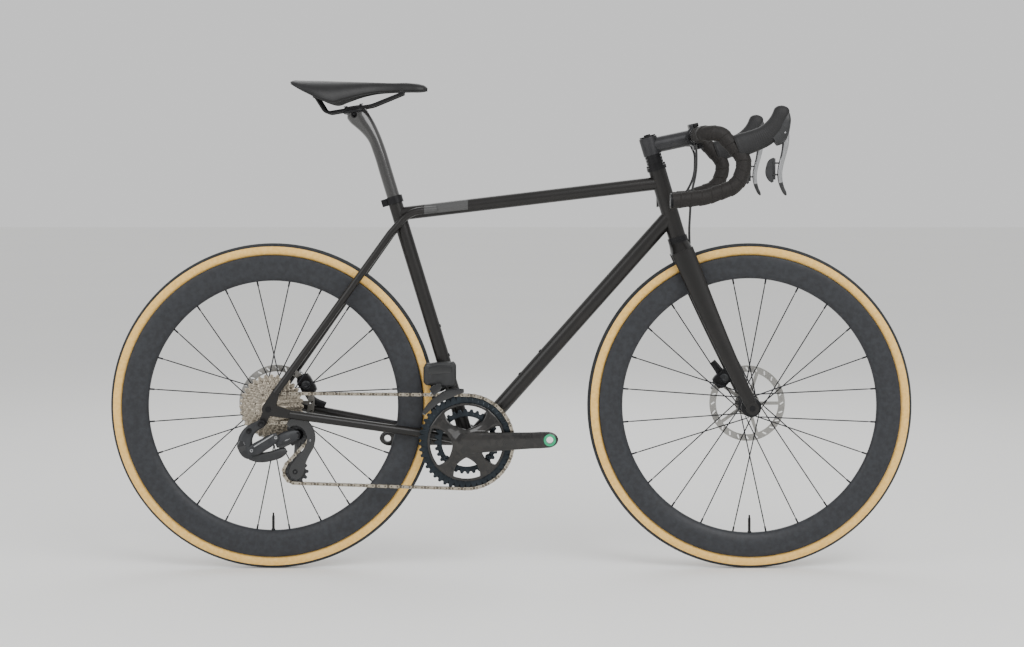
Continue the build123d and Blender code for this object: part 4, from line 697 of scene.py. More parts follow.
# crank arms; the pedal eye's place is along the arm and out from the middle, in millimetres
pedal = {"length": 172.5, "out": 63, "bore": 0.00715}


def onCrank(x, y, z):
    # along the right arm, distance to the left, and square to the arm
    c, s = math.cos(crankTurn), math.sin(crankTurn)
    return at("crank") + arr(x * c - z * s, y, x * s + z * c) * mm


def armShell(sign):
    # a bar with a rounded section that narrows and bows outward from spindle to pedal
    rows = np.array([(-20, 57, 16, 6.0), (-6, 59.5, 23, 9), (16, 62, 22.5, 9.5),
                     (45, 63, 20.5, 7.6), (90, 63.2, 18.5, 6.6), (135, 63.2, 17.2, 6.5), (160, 63.2, 17.0, 6.6),
                     (178, 63.2, 14.8, 6.4), (187, 63.2, 8.5, 5.2), (190, 63.2, 2.0, 3.4)])
    rows = spline(rows, 60)
    path = np.array([onCrank(sign * r[0], -sign * r[1], 0) for r in rows])
    return tube(loft(path, rows[:, 3] * mm, rows[:, 2] * mm, (0, 1, 0), 40, 3.2))


def buildRightCrank():
    # four dished arms of the spider run from the boss to the ring band
    crank = {"armAngles": (140, 232, 39, 305), "reach": 79.0, "voxel": 0.0013, "soft": 7}
    shells = [armShell(1)]
    for angle in crank["armAngles"]:
        a = math.radians(angle)
        rows = np.array([(0, 60, 24, 9), (16, 60.0, 22, 8.5), (32, 57.5, 15.0, 6.0),
                         (48, 54.2, 11.5, 4.2), (64, 51.8, 15.0, 3.0),
                         (crank["reach"], 50.9, 25.0, 1.9)])
        rows = spline(rows, 26)
        path = np.array([onCrank(r[0] * math.cos(a), -r[1], r[0] * math.sin(a)) for r in rows])
        shells.append(tube(loft(path, rows[:, 3] * mm, rows[:, 2] * mm, (0, 1, 0), 32, 3.0)))
    shells.append(turned(at("crank"), [(0.0001, -0.0415), (0.0235, -0.0415), (0.025, -0.050),
                                       (0.026, -0.062), (0.022, -0.0680), (0.0001, -0.0695)], 64))
    band = [(0.0752, -0.0487), (0.0812, -0.0487), (0.0815, -0.0506), (0.0805, -0.0514),
            (0.0762, -0.0514), (0.0752, -0.0506)]
    shells.append(turned(at("crank"), band, 160))
    arm = piece("rightCrankMoulding", shells, "crankset", [flakeCarbon],
                ["right_crank_arm"])
    moulded(arm, crank["voxel"], crank["soft"])
    bored(arm, onCrank(pedal["length"], -pedal["out"], 0))
    spindle = revolved(at("crank"), [(0.0001, -0.0420), (0.0119, -0.0420), (0.0119, 0.0665),
                                     (0.0090, 0.0682), (0.0085, 0.060), (0.0001, 0.060)], 48)
    piece("crankSpindle", [tube(spindle, closeU=True)], "crankset",
          [blackAnodised])


def bored(obj, centre):
    # a round through hole for the pedal thread
    r = pedal["bore"]
    ring = revolved(centre, [(0.0001, -0.02), (r, -0.02), (r, 0.02), (0.0001, 0.02)], 40)
    v, quads, _ = tube(ring, closeU=True)
    mesh = bpy.data.meshes.new("borer")
    mesh.from_pydata(v.tolist(), [], quads.tolist())
    borer = bpy.data.objects.new("borer", mesh)
    bpy.context.scene.collection.objects.link(borer)
    cut = obj.modifiers.new("bore", "BOOLEAN")
    cut.operation, cut.object, cut.solver = "DIFFERENCE", borer, "FAST"
    deps = bpy.context.evaluated_depsgraph_get()
    result = bpy.data.meshes.new_from_object(obj.evaluated_get(deps))
    obj.modifiers.clear()
    obj.data = result
    bpy.data.objects.remove(borer)


def buildLeftCrank():
    shells = [armShell(-1),
              turned(at("crank"), [(0.0122, 0.0440), (0.0180, 0.0440), (0.0205, 0.052),
                                   (0.0225, 0.062), (0.0205, 0.0692), (0.0122, 0.0698)], 56)]
    arm = piece("leftCrankMoulding", shells, "crankset", [flakeCarbon],
                ["left_crank_arm"])
    moulded(arm, 0.0013, 6)
    bored(arm, onCrank(-pedal["length"], pedal["out"], 0))


buildRightCrank()
buildLeftCrank()
print("cranks built")

# handlebar tape, hoods and levers
def fromBend(x, z, y=0.0, sign=1):
    corner = at("topBend")
    return arr(corner[0] + x * mm, sign * (corner[1] + y * mm), corner[2] + z * mm)


def buildTape():
    # the tape overlaps itself in a spiral: thickness rises along each turn, then drops
    tape = {"start": 0.062, "lead": 0.021, "low": 0.0145, "step": 0.0017, "around": 48,
            "points": [(0, 0), (33, 0), (83, -53), (68, -104), (4, -127), (-62, -134)],
            "radii": [0.020, 0.022, 0.034, 0.044, 0.060]}
    corner = at("topBend")
    route = [at("bar")] + [corner + arr(x, 0, z) * mm for x, z in tape["points"]]
    path, s = roundedPath(route, tape["radii"], 0.0011)
    keep = s > tape["start"]
    path, s = path[keep], s[keep]
    _, side, up = framesAlong(path, (1, 0, 0))
    theta = np.linspace(0, 2 * np.pi, tape["around"], endpoint=False)[None]
    turn = (s[:, None] / tape["lead"] - theta / (2 * np.pi)) % 1
    edge = np.clip((1 - turn) / 0.06, 0, 1)
    radius = tape["low"] + tape["step"] * (0.25 + 0.75 * turn) * edge
    fade = np.clip((s - s[0]) / 0.002, 0, 1)[:, None]
    radius = radius * (0.93 + 0.07 * fade)
    points = (path[:, None] + side[:, None] * (radius * np.cos(theta))[..., None]
              + up[:, None] * (radius * np.sin(theta))[..., None])
    shell = tube(points)
    ring = np.stack([side[:1] * 0 + path[0] + 0.0153 * (side[0] * c + up[0] * d)
                     for c, d in zip(np.cos(theta[0]), np.sin(theta[0]))], axis=1)[0]
    ends = np.stack([ring + arr(0, y, 0) for y in (-0.002, 0.016)])
    sleeve = tube(ends)
    wide = np.array([(-58, 13.0), (-61.5, 15.4), (-63.6, 15.2), (-64.6, 13.5), (-65.0, 8.0)])
    plugPath = np.array([fromBend(r[0], -133.9 + (-62 - r[0]) * -0.1) for r in wide])
    plug = tube(loft(plugPath, wide[:, 1] * mm, wide[:, 1] * mm, (0, 1, 0), 32, 2))
    shells = [shell, mirrorShell(shell)]
    piece("wrappedTape", shells, "steering", [corkTape], ["bar_tape"])
    piece("tapeFinishBands", [sleeve, mirrorShell(sleeve), plug, mirrorShell(plug)], "steering",
          [blackAnodised])


def buildHoods():
    # rings square to a spine that runs along the bar and turns up into the horn
    hood = {"rows": [(64, -27, 22.0, 17.4), (72, -24, 23.2, 17.6), (86, -19.5, 22.6, 17.4),
                     (104, -13, 21.6, 17.0), (121, -5, 21.0, 16.6), (136, 8, 19.6, 16.0),
                     (146.5, 23, 17.8, 15.2), (152, 36, 16.6, 14.6), (154, 44, 15.6, 13.6),
                     (155, 49.5, 13.4, 11.6), (155.5, 53.2, 8.5, 8.0), (155.7, 54.8, 3.0, 3.5)]}
    rows = spline(np.array([(r[0], 0, r[1], r[2], r[3]) for r in hood["rows"]]), 110)
    path = np.array([fromBend(r[0], r[2]) for r in rows])
    points = loft(path, rows[:, 4] * mm, rows[:, 3] * mm, (0, 1, 0), 56, 2.5)
    run = np.linspace(0, 1, 110)[:, None]
    theta = np.linspace(0, 2 * np.pi, 56, endpoint=False)[None]
    # a fine raised lip where the hood meets the tape, and grip ribs on the outer flank
    lip = np.exp(-((run - 0.03) / 0.018) ** 2) * 0.0008
    ribs = 0.00035 * np.sin(run * 190) * np.exp(-((run - 0.40) / 0.16) ** 2) * \
        np.clip(np.abs(np.cos(theta)) - 0.55, 0, 1) * 2
    centre = points.mean(axis=1, keepdims=True)
    direction = points - centre
    direction /= np.linalg.norm(direction, axis=2, keepdims=True) + 1e-9
    points = points + direction * (lip + ribs)[..., None]
    shell = tube(points)
    piece("hoodRubberPair", [shell, mirrorShell(shell)], "steering",
          [hoodRubber], ["hoods"])
    # the hard front cap below the horn, where the lever hangs, with its pivot pin
    cap = np.array([(138, 0, -14, 13, 14.2), (146, 0, -9, 15, 14.6), (154, 0, 2, 14, 14.6),
                    (160, 0, 16, 11, 14.4), (164, 0, 30, 8, 13.2), (166, 0, 40, 4, 9.0)])
    cap = spline(cap, 40)
    capPath = np.array([fromBend(r[0], r[2]) for r in cap])
    body = tube(loft(capPath, (cap[:, 4] + 0.6) * mm, cap[:, 3] * mm, (0, 1, 0), 40, 3.0))
    pin = turned(fromBend(159, 1), [(0.0001, -0.0160), (0.0016, -0.0160), (0.0019, -0.0156),
                                    (0.0019, 0.0156), (0.0016, 0.0160), (0.0001, 0.0160)], 20)
    piece("bracketFronts", [body, mirrorShell(body), pin, mirrorShell(pin)], "steering",
          [leverResin, boltSteel], ["shifter_bodies"],
          tag=[[0] * len(body[1])] * 2 + [[1] * len(pin[1])] * 2)


def buildLever(name, sign):
    # a flat-faced blade along a curved spine; the front face is metal, the tip moulded
    rows = np.array([(160, 0, 9, 7.5, 6.0), (161.5, 0, -3, 7.4, 6.2), (161.5, 0, -20, 6.6, 6.2),
                     (158.5, 0, -38, 5.6, 6.0), (153.5, 0, -58, 5.0, 5.8),
                     (150.3, 0, -76, 4.9, 5.8),
                     (151, 0, -93, 4.5, 5.6), (155.5, 0, -109, 3.8, 5.2), (161, 0, -120, 2.8, 4.4),
                     (162.6, 0, -123, 1.4, 2.6)])
    rows = spline(rows, 80)
    path = np.array([fromBend(r[0], r[2], 0, sign) for r in rows])
    points = loft(path, rows[:, 4] * mm, rows[:, 3] * mm, (0, 1, 0), 32, 3.4)
    shell = tube(points)
    centres = points.reshape(-1, 3)[shell[1]].mean(axis=1)
    axis = np.repeat(path[:-1], 32, axis=0)
    run = np.repeat(np.linspace(0, 1, 79), 32)
    flank = np.abs(centres[:, 1] - axis[:, 1]) > 0.0030
    metal = flank & (run < 0.80) & (run > 0.05) & ((centres[:, 0] - axis[:, 0]) > -0.0034)
    metal |= ((centres[:, 0] - axis[:, 0]) > 0.0005) & (run < 0.80)
    # two short ears behind the blade carry the paddle's barrel
    shells, tags = [shell], [metal.astype(int)]
    for z in (-59, -82):
        earPath = np.array([fromBend(x, z, 0, sign) for x in (135.2, 135.8, 148.6, 149.2)])
        ear = tube(loft(earPath, arr(2.4, 3.0, 3.0, 2.4) * mm, arr(1.3, 1.7, 1.7, 1.3) * mm,
                        (0, 1, 0), 20, 3))
        shells.append(ear)
        tags.append([0] * len(ear[1]))
    piece(name + "Blade", shells, name + "_lever", [leverResin, satinAlloy],
          [name + "_brake_lever"], tag=tags)


def buildPaddle(name, sign):
    # a thin curved paddle with a rounded outline behind the blade, on an upright barrel
    rows = np.array([(139, 0, -50, 2.6, 2.6), (133, 0, -56, 5.5, 1.8), (130, 0, -68, 7.5, 1.5),
                     (129.5, 0, -80, 8.0, 1.5), (132, 0, -90, 6.0, 1.5), (136, 0, -97, 2.6, 1.4)])
    rows = spline(rows, 36)
    path = np.array([fromBend(r[0], r[2], 0, sign) for r in rows])
    wing = tube(loft(path, rows[:, 4] * mm, rows[:, 3] * mm, (0, 1, 0), 24, 3))
    high = np.array([-49.5, -50.5, -91.0, -92.0])
    barrelPath = np.array([fromBend(139, z, 0, sign) for z in high])
    barrel = barAlong(barrelPath, arr(2.0, 2.7, 2.7, 2.0) * mm, 20)
    piece(name + "ShiftWing", [wing, barrel], name + "_paddle", [leverResin],
          [name + "_shift_paddle"])


buildTape()
buildHoods()
for name, sign in (("right", -1), ("left", 1)):
    buildLever(name, sign)
    buildPaddle(name, sign)
print("handlebar pieces built")

# saddle and seatpost
saddleShape = {"nose": -0.17590, "top": 1.02085,
               # back from the nose, half width, top below the highest line, skirt depth
               "rows": [(0.0, 5.0, 15.5, 4.0), (5.0, 13.5, 11.0, 9.5), (14.0, 17.5, 8.0, 13.5),
                        (35.0, 19.0, 5.2, 16.5), (75.0, 20.0, 4.0, 19.0), (110.0, 26.0, 3.2, 22.5),
                        (140.0, 37.0, 2.8, 29.0), (170.0, 50.0, 2.2, 39.0),
                        (192.0, 61.0, 1.8, 46.0),
                        (212.0, 67.5, 1.2, 42.0), (240.0, 69.3, 0.8, 29.0),
                        (262.0, 66.0, 0.6, 18.0),
                        (276.0, 58.0, 0.8, 9.5), (281.0, 50.0, 2.6, 4.5)]}


def saddleSection(inset, sink, wall, across=49, along=120):
    # over the top y follows sin to a power and z falls with cos; the inside is offset by the wall
    rows = spline(np.array([(r[0], 0, 0, *r[1:]) for r in saddleShape["rows"]]), along)
    phi = np.linspace(-np.pi / 2, np.pi / 2, across)[None]
    half, drop, depth = (rows[:, k][:, None] for k in (3, 4, 5))
    x = saddleShape["nose"] - rows[:, 0][:, None] * mm
    half = np.clip(half - inset, 1.5, None)
    depth = np.clip(depth - sink * 0.5, 2.0, None)
    shape = np.sign(np.sin(phi)) * np.abs(np.sin(phi)) ** 0.78
    fall = 1 - np.cos(phi) ** 0.92
    back = rows[:, 0][:, None]
    groove = 3.2 * np.exp(-(half * shape / 7.0) ** 2) * np.clip((back - 45) / 40, 0, 1) * \
        np.clip((275 - back) / 45, 0, 1)
    outer = np.stack([x + 0 * phi, half * shape * mm,
                      saddleShape["top"] - (drop + sink + depth * fall + groove) * mm], axis=-1)
    thin = np.clip(wall, 0, depth * 0.8)
    inner = np.stack([x + 0 * phi, np.clip(half - wall * 0.7, 1, None) * shape * mm,
                      saddleShape["top"] - (drop + sink + depth * fall + groove
                                            + thin * np.cos(phi)) * mm], axis=-1)
    return tube(np.concatenate([outer, inner[:, ::-1]], axis=1))


def buildSaddle():
    cover = piece("paddedSaddleCover", [saddleSection(0.0, 0.0, 5.0)], "seat",
                  [saddleSkin], ["saddle_cover"])
    shells = [saddleSection(2.6, 5.2, 2.6, 41, 90)]
    # two sockets under the shell hold the rail ends
    for x, y, z, size in ((-0.406, 0.030, 0.987, 5.5), (-0.229, 0.0155, 0.9945, 3.6)):
        for sign in (-1, 1):
            path = arr(x, sign * y, z) + arr(0, 0, 1) * arr(-4.5, -3, 2, 9)[:, None] * mm
            shells.append(tube(loft(path, arr(0.7, 0.95, 1, 1) * size * mm,
                                    arr(0.9, 1.2, 1.4, 1.6) * size * mm, (0, 1, 0), 24, 3)))
    piece("saddleBaseShell", shells, "seat", [blackResin], ["saddle_shell"])


def buildSeatpost():
    # round below, flaring fore and aft into a head that cradles the rails
    rows = np.array([(-201.4, 0, 627.0, 13.55, 13.55), (-240.0, 0, 753.6, 13.55, 13.55),
                     (-262, 0, 825.6, 13.55, 13.55), (-276, 0, 871.3, 13.6, 13.6),
                     (-288, 0, 902, 14.2, 13.8), (-301, 0, 923, 17.5, 14.2),
                     (-313, 0, 938, 20.5, 15.0), (-322, 0, 948, 22.0, 17.0),
                     (-326, 0, 954.0, 21.5, 18.5), (-328, 0, 957.5, 18.0, 18.0)])
    rows = spline(rows, 120)
    shell = tube(loft(rows[:, :3] * mm, rows[:, 4] * mm, rows[:, 3] * mm, (0, 1, 0), 56, 2.0))
    slope = math.radians(9.6)
    run, up = arr(math.cos(slope), 0, math.sin(slope)), arr(-math.sin(slope), 0, math.cos(slope))
    clamp = arr(-0.32989, 0, 0.96089)
    shells, marks = [shell], [[0] * len(shell[1])]
    for low, high, length in ((-0.0085, -0.0006, 0.021), (0.0006, 0.0062, 0.018)):
        path = clamp + run * np.linspace(-length, length, 9)[:, None] + up * (low + high) / 2
        swell = 1 - 0.25 * np.linspace(-1, 1, 9) ** 4
        half = np.full(9, 0.0278) * swell
        thick = np.full(9, (high - low) / 2) * swell
        shells.append(tube(loft(path, half, thick, (0, 1, 0), 40, 5)))
        marks.append([1] * len(shells[-1][1]))
    for end in (-0.0165, 0.0165):
        foot = clamp + run * end
        path = foot + up * np.array([-0.0095, -0.0090, 0.0068, 0.0070, 0.0090, 0.0094])[:, None]
        shells.append(barAlong(path, arr(2.0, 2.5, 2.5, 4.2, 4.2, 3.2) * mm, 18))
        marks.append([2] * len(shells[-1][1]))
    yoke = clamp - up * 0.012
    path = yoke + arr(0, 1, 0) * np.linspace(-0.0195, 0.0195, 9)[:, None]
    shells.append(barAlong(path, arr(5, 7.6, 8, 8, 8, 8, 8, 7.6, 5) * mm, 28, (1, 0, 0)))
    marks.append([1] * len(shells[-1][1]))
    piece("flaredSeatpost", shells, "seat", [glossCarbon, blackAnodised, boltSteel],
          ["seatpost"], tag=marks)


buildSaddle()
buildSeatpost()
print("saddle and post built")

# brake calipers
def buildCaliper(name, axle, angle, planeY, body, node, foot):
    # two rounded halves beside the disc, joined by a bridge outside its edge
    caliper = {"reach": 73.5, "gap": 1.6, "wall": 10.4}
    out = arr(math.cos(angle), 0, math.sin(angle))
    along = arr(-math.sin(angle), 0, math.cos(angle))
    centre = at(axle) + out * caliper["reach"] * mm + arr(0, planeY, 0)
    swell = np.array([0.55, 0.85, 1.0, 1.0, 0.96, 1.0, 1.0, 0.85, 0.55])
    shift = np.linspace(-23, 23, 9)[:, None]
    shells, marks = [], []
    for side in (-1, 1):
        half = (caliper["wall"] - caliper["gap"]) / 2
        path = centre + arr(0, side * (caliper["gap"] + half) * mm, 0) + along * shift * mm
        shells.append(tube(loft(path, half * mm * np.ones(9), 15.5 * mm * swell, (0, 1, 0), 36,
                                3.6)))
        marks.append(0)
        cover = centre + arr(0, side * caliper["wall"] * mm, 0)
        shells.append(turned(cover, [(0.0001, side * 0.0016), (0.0086, side * 0.0016),
                                     (0.0098, 0.0004 * side), (0.0098, -0.002 * side),
                                     (0.0001, -0.002 * side)], 36))
        marks.append(1)
    bridge = centre + out * 11.5 * mm + along * shift * 0.9 * mm
    shells.append(tube(loft(bridge, caliper["wall"] * mm * (0.7 + 0.3 * swell), 4.2 * mm * swell,
                            (0, 1, 0), 32, 3.2)))
    rows = spline(np.array([(*foot[0], 6.0, 9.0), (*foot[1], 6.0, 8.0), (*foot[2], 5.0, 7.0)]), 24)
    shells.append(tube(loft(rows[:, :3] * mm, rows[:, 3] * mm, rows[:, 4] * mm,
                            (0, 1, 0), 28, 3)))
    fitting = centre + along * 20 * mm + arr(0, 0.007, 0)
    path = fitting + along * np.array([0, 4, 9, 10, 15])[:, None] * mm
    shells.append(barAlong(path, arr(5, 5, 5, 3.6, 3.4) * mm, 20))
    marks += [0, 0, 2]
    piece(name, shells, body, [blackAnodised, greyAlloy, boltSteel], [node],
          tag=tagged(shells, marks))


buildCaliper("frontCaliperBody", "frontAxle", math.radians(133), 0.040, "steering",
             "front_caliper", ((446, 47.2, 399), (437, 48, 413), (426, 48, 427)))
buildCaliper("rearCaliperBody", "rearAxle", math.radians(31), 0.0525, "frame",
             "rear_caliper", ((-437, 59.5, 366), (-425, 59.8, 346), (-397, 60.2, 333)))
print("calipers built")

# derailleurs
def fromAxle(x, y, z):
    axle = at("rearAxle")
    return arr(axle[0] + x * mm, y * mm, axle[2] + z * mm)


def lobe(rows, power=2.6, count=28, steps=40, across=(0, 1, 0)):
    # a rounded body that swells along a line, placed from the rear axle in millimetres;
    # rows: along, to the left, up, half thickness sideways, half height
    rows = spline(np.array(rows, float), steps)
    path = np.array([fromAxle(*r[:3]) for r in rows])
    return tube(loft(path, rows[:, 3] * mm, rows[:, 4] * mm, across, count, power))


def boltHead(x, y, z, radius, depth=3.0):
    # a round head with a six-sided socket sunk in it, facing to the right
    spot = fromAxle(x, y, z)
    a = np.linspace(0, 2 * np.pi, 36, endpoint=False)
    hexagon = math.cos(math.pi / 6) / np.cos((a + math.pi / 6) % (math.pi / 3) - math.pi / 6)
    rim = radius * np.ones(36)
    rows = [(rim, depth), (rim, 0.6), (0.9 * radius * np.ones(36), 0.0),
            (0.55 * radius * hexagon, 0.0), (0.52 * radius * hexagon, 1.6),
            (0.02 * np.ones(36), 1.6)]
    rings = [np.stack([spot[0] + r * mm * np.cos(a), np.full(36, spot[1] + d * mm),
                       spot[2] + r * mm * np.sin(a)], axis=1) for r, d in rows]
    return tube(np.stack(rings))


def pulleyWheel(name, spot, body, node):
    centre = at(spot)
    shells = [toothedRing(centre, drive["pulleyTeeth"], 0.0045, centre[1], 0.0022,
                          height=0.0056, samples=12),
              turned(centre, [(0.0016, -0.0034), (0.0058, -0.0034), (0.0068, -0.0022),
                              (0.0068, 0.0022), (0.0058, 0.0034), (0.0016, 0.0034)], 36)]
    piece(name, shells, body, [pulleyResin, boltSteel], [node],
          tag=tagged(shells, (0, 1)))


def buildRearDerailleur():
    mount = [lobe([(-12, -79, -28, 5, 9), (-24, -80, -34, 5.5, 9.5), (-37, -82, -44, 7, 12),
                   (-45, -84, -60, 8.5, 14.5), (-45, -85, -76, 9, 15.5), (-38, -85, -90, 8, 12),
                   (-31, -84, -97, 5, 6)]),
             boltHead(-12, -87.5, -28, 7.5, 12), boltHead(-37, -91.5, -42, 5.6, 8),
             lobe([(-52, -92, -62, 1.2, 5), (-52, -93.5, -72, 1.8, 9), (-46, -93, -84, 1.2, 5)])]
    piece("derailleurUpperBody", mount, "rear_mount",
          [greyAlloy, blackAnodised, glossBlack], ["derailleur_mount"],
          tag=tagged(mount, (0, 1, 1, 2)))
    link = [lobe([(-36, -90, -86, 3.0, 8), (-28, -90, -82, 4.0, 11.5), (-8, -86, -71, 4.6, 12.5),
                  (10, -81, -60, 4.2, 11), (20, -77, -53, 3.0, 7)], power=3.4),
            lobe([(-37, -83, -96, 4.5, 6.5), (-20, -81, -98, 6.5, 9.5), (8, -77, -95, 7, 10),
                  (30, -72, -87, 6.5, 8.5), (37, -70, -83, 4, 5)], power=3.2),
            boltHead(-31, -95, -82, 3.4, 6), boltHead(17, -84, -57, 3.4, 6),
            lobe([(-26, -94.5, -74, 0.6, 1.2), (-6, -91, -62, 0.6, 1.4), (12, -86, -51, 0.6, 1.2)])]
    piece("derailleurOuterLink", link, "rear_link",
          [greyAlloy, leverResin, boltSteel, satinAlloy], ["derailleur_link"],
          tag=tagged(link, (0, 1, 2, 2, 3)))
    knuckle = [lobe([(14, -72, -70, 6, 10), (24, -70, -66, 8, 14), (38, -66, -60, 8, 15),
                     (52, -62, -55, 5, 12), (62, -60, -54, 3, 8)]),
               boltHead(59, -64.5, -54, 6.0, 8),
               lobe([(22, -79, -76, 1.0, 4), (34, -76, -70, 1.8, 7), (46, -71, -62, 1.0, 4)])]
    piece("derailleurLowerBody", knuckle, "rear_knuckle",
          [greyAlloy, blackAnodised, glossBlack], ["derailleur_knuckle"],
          tag=tagged(knuckle, (0, 1, 2)))
    outer = [(38, -55.2, -37, 0.8, 5), (46, -55.2, -29, 0.8, 8), (62, -55.2, -27, 0.8, 10),
             (78, -55.2, -38, 0.8, 9.5), (86, -55.2, -57, 0.8, 9), (84, -55.2, -76, 0.8, 8.5),
             (74, -55.2, -94, 0.8, 9), (64, -55.2, -110, 0.8, 12), (57, -55.2, -126, 0.8, 15.5),
             (53, -55.2, -140, 0.8, 12), (51, -55.2, -147, 0.8, 5)]
    inner = [(52, -44.2, -42, 0.8, 6), (58, -44.2, -54, 0.8, 9), (58, -44.2, -75, 0.8, 8),
             (56, -44.2, -100, 0.8, 8), (54, -44.2, -120, 0.8, 11), (53, -44.2, -133, 0.8, 12),
             (52, -44.2, -142, 0.8, 6)]
    cage = [lobe(outer, power=7, count=32, steps=70), lobe(inner, power=7, count=32, steps=60),
            lobe([(59, -57, -54, 11, 11), (59, -55, -54, 11, 11)], power=2, steps=4,
                 across=(1, 0, 0)),
            boltHead(53, -57.4, -131, 5.2, 10), boltHead(59, -57.0, -54, 4.4, 10),
            boltHead(84, -56.6, -66, 2.0, 2)]
    piece("derailleurCagePlates", cage, "rear_cage",
          [glossBlack, boltSteel, blackAnodised], ["derailleur_cage"],
          tag=tagged(cage, (0, 0, 2, 2, 1, 1)))
    pulleyWheel("guideWheelTeeth", "guide", "guide_wheel", "guide_pulley")
    pulleyWheel("tensionWheelTeeth", "tension", "tension_wheel", "tension_pulley")


def buildFrontDerailleur():
    # a rounded motor box on a band clamp, with the links hanging below it
    box = [lobe([(317, -31, 68, 9.5, 15), (319, -31, 68, 12, 18.5), (334, -31, 69, 13, 22.5),
                 (350, -31, 69, 13, 24.5), (372, -31, 68.5, 13, 25.5), (381, -30.5, 68, 12.2, 24.5),
                 (383, -30, 68, 9.5, 21)], power=7, steps=60),
           lobe([(326, -44.0, 76, 0.8, 6), (350, -44.6, 79, 1.2, 9),
                 (376, -44.0, 79, 0.8, 7)], power=6),
           lobe([(338, -34, 46, 6, 3), (344, -34, 42, 7.5, 9), (354, -34, 42, 7, 9),
                 (364, -34, 50, 5, 5)]),
           boltHead(349, -42.5, 44, 3.6, 8), boltHead(361, -40.5, 57, 2.8, 6),
           lobe([(352, -22, 60, 6, 6), (366, -17, 66, 6, 8), (378, -10, 72, 4, 8)])]
    piece("frontDerailleurMotor", box, "frame",
          [leverResin, glossBlack, greyAlloy, boltSteel, blackAnodised], ["front_derailleur"],
          tag=tagged(box, (0, 1, 4, 3, 3, 2)))
    # two thin plates curve over the ring and hang from a tab on the pin
    arc = np.radians(np.array([93, 100, 108, 116, 124, 132, 140, 147]))
    high = np.array([3.0, 5.5, 8.0, 8.5, 7.5, 6.5, 5.5, 3.0])
    plates = []
    for y, lift in ((-0.0526, 0.0085), (-0.0432, 0.0095)):
        reach = pitchRadius(drive["bigTeeth"]) + lift
        path = at("crank") + np.stack([reach * np.cos(arc), 0 * arc + y, reach * np.sin(arc)],
                                      axis=1)
        rows = spline(np.concatenate([path, high[:, None]], axis=1), 44)
        plates.append(tube(loft(rows[:, :3], np.full(44, 0.0006), rows[:, 3] * mm, (0, 1, 0),
                                24, 6)))
    plates.append(lobe([(349, -51.8, 51, 1.2, 3), (349, -51.8, 46, 1.4, 7),
                        (341, -52.2, 38, 1.2, 9), (334, -52.6, 33, 0.9, 8)], power=4))
    plates.append(lobe([(333, -53, 31, 2, 2.4), (333, -43, 31, 2, 2.4)], power=2, steps=5,
                       across=(1, 0, 0)))
    piece("frontCagePlates", plates, "front_cage", [glossBlack, boltSteel],
          ["front_derailleur_cage"], tag=tagged(plates, (0, 0, 0, 1)))
    # the band clamp follows the seat tube
    axis = arr(-0.29237, 0, 0.95630)
    rows = np.linspace(0.140, 0.156, 6)
    path = at("crank") + axis * rows[:, None]
    band = barAlong(path, arr(15.2, 17.4, 17.8, 17.8, 17.4, 15.2) * mm, 48)
    piece("derailleurBand", [band], "frame", [blackAnodised])


buildRearDerailleur()
buildFrontDerailleur()
print("derailleurs built")

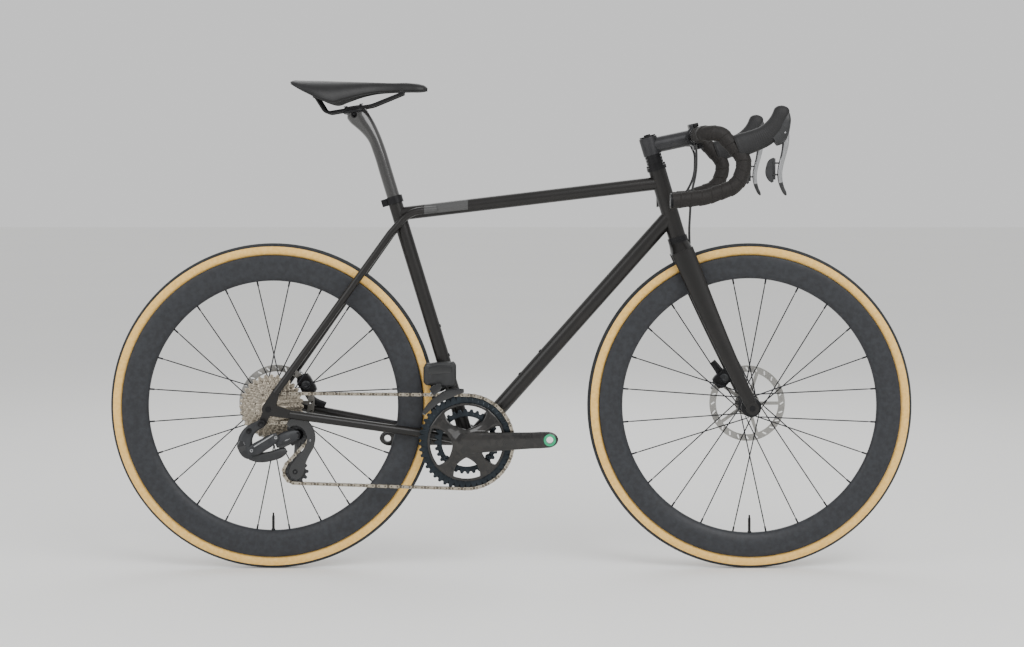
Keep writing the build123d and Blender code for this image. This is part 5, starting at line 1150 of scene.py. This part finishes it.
# floor, light and camera
def buildStage():
    light = {"floor": "#f2f2f0", "floorLight": "#f6f6f4", "world": "#ffffff",
             "worldStrength": 0.86, "key": 95.0, "fill": 34.0, "back": 24.0, "floorReach": 40}
    m = emptyMaterial("palePaper")
    coords = addNode(m, "ShaderNodeTexCoord")
    tone = addNode(m, "ShaderNodeTexNoise", [("Scale", 0.6)], [("Vector", (coords, "Object"))])
    ramp = addNode(m, "ShaderNodeValToRGB", (), [("Fac", (tone, "Fac"))])
    ramp.color_ramp.elements[0].color = linear(light["floor"])
    ramp.color_ramp.elements[1].color = linear(light["floorLight"])
    shader = addNode(m, "ShaderNodeBsdfPrincipled", [("Roughness", 0.9)],
                     [("Base Color", (ramp, "Color"))])
    addNode(m, "ShaderNodeOutputMaterial", (), [("Surface", (shader, "BSDF"))])
    across = np.linspace(-light["floorReach"], light["floorReach"], 5)
    x, y = np.meshgrid(across, across, indexing="ij")
    points = np.stack([x, y, np.zeros_like(x)], axis=-1).reshape(-1, 3)
    mesh = bpy.data.meshes.new("paleFloor")
    mesh.from_pydata(points.tolist(), [], gridFaces(5, 5, closeV=False).tolist())
    mesh.materials.append(m)
    mesh.polygons.foreach_set("use_smooth", np.full(len(mesh.polygons), True))
    floor = bpy.data.objects.new("paleFloor", mesh)
    bpy.context.scene.collection.objects.link(floor)
    world = bpy.data.worlds.new("softRoom")
    world.use_nodes = True
    world.node_tree.nodes["Background"].inputs["Color"].default_value = linear(light["world"])
    world.node_tree.nodes["Background"].inputs["Strength"].default_value = light["worldStrength"]
    bpy.context.scene.world = world
    for name, spot, aim, size, power in (
            ("keyPanel", (1.6, -2.6, 2.9), (0.1, 0, 0.5), 2.4, light["key"]),
            ("fillPanel", (-2.4, -2.2, 1.8), (0, 0, 0.5), 2.0, light["fill"]),
            ("backPanel", (0.0, 2.4, 2.6), (0, 0, 0.5), 2.2, light["back"])):
        lamp = bpy.data.lights.new(name, "AREA")
        lamp.size, lamp.energy = size, power
        obj = bpy.data.objects.new(name, lamp)
        obj.location = spot
        obj.rotation_euler = (Vector(aim) - Vector(spot)).to_track_quat("-Z", "Y").to_euler()
        bpy.context.scene.collection.objects.link(obj)


def buildCamera():
    view = {"spot": (0.060, -3.8, 0.781), "lens": 63.7, "shiftX": -0.0273, "shiftY": -0.1255}
    camera = bpy.data.cameras.new("sideCamera")
    camera.lens, camera.sensor_width = view["lens"], 36
    camera.shift_x, camera.shift_y = view["shiftX"], view["shiftY"]
    obj = bpy.data.objects.new("sideCamera", camera)
    obj.location = view["spot"]
    obj.rotation_euler = (math.pi / 2, 0, 0)
    bpy.context.scene.collection.objects.link(obj)
    bpy.context.scene.camera = obj


buildStage()
buildCamera()
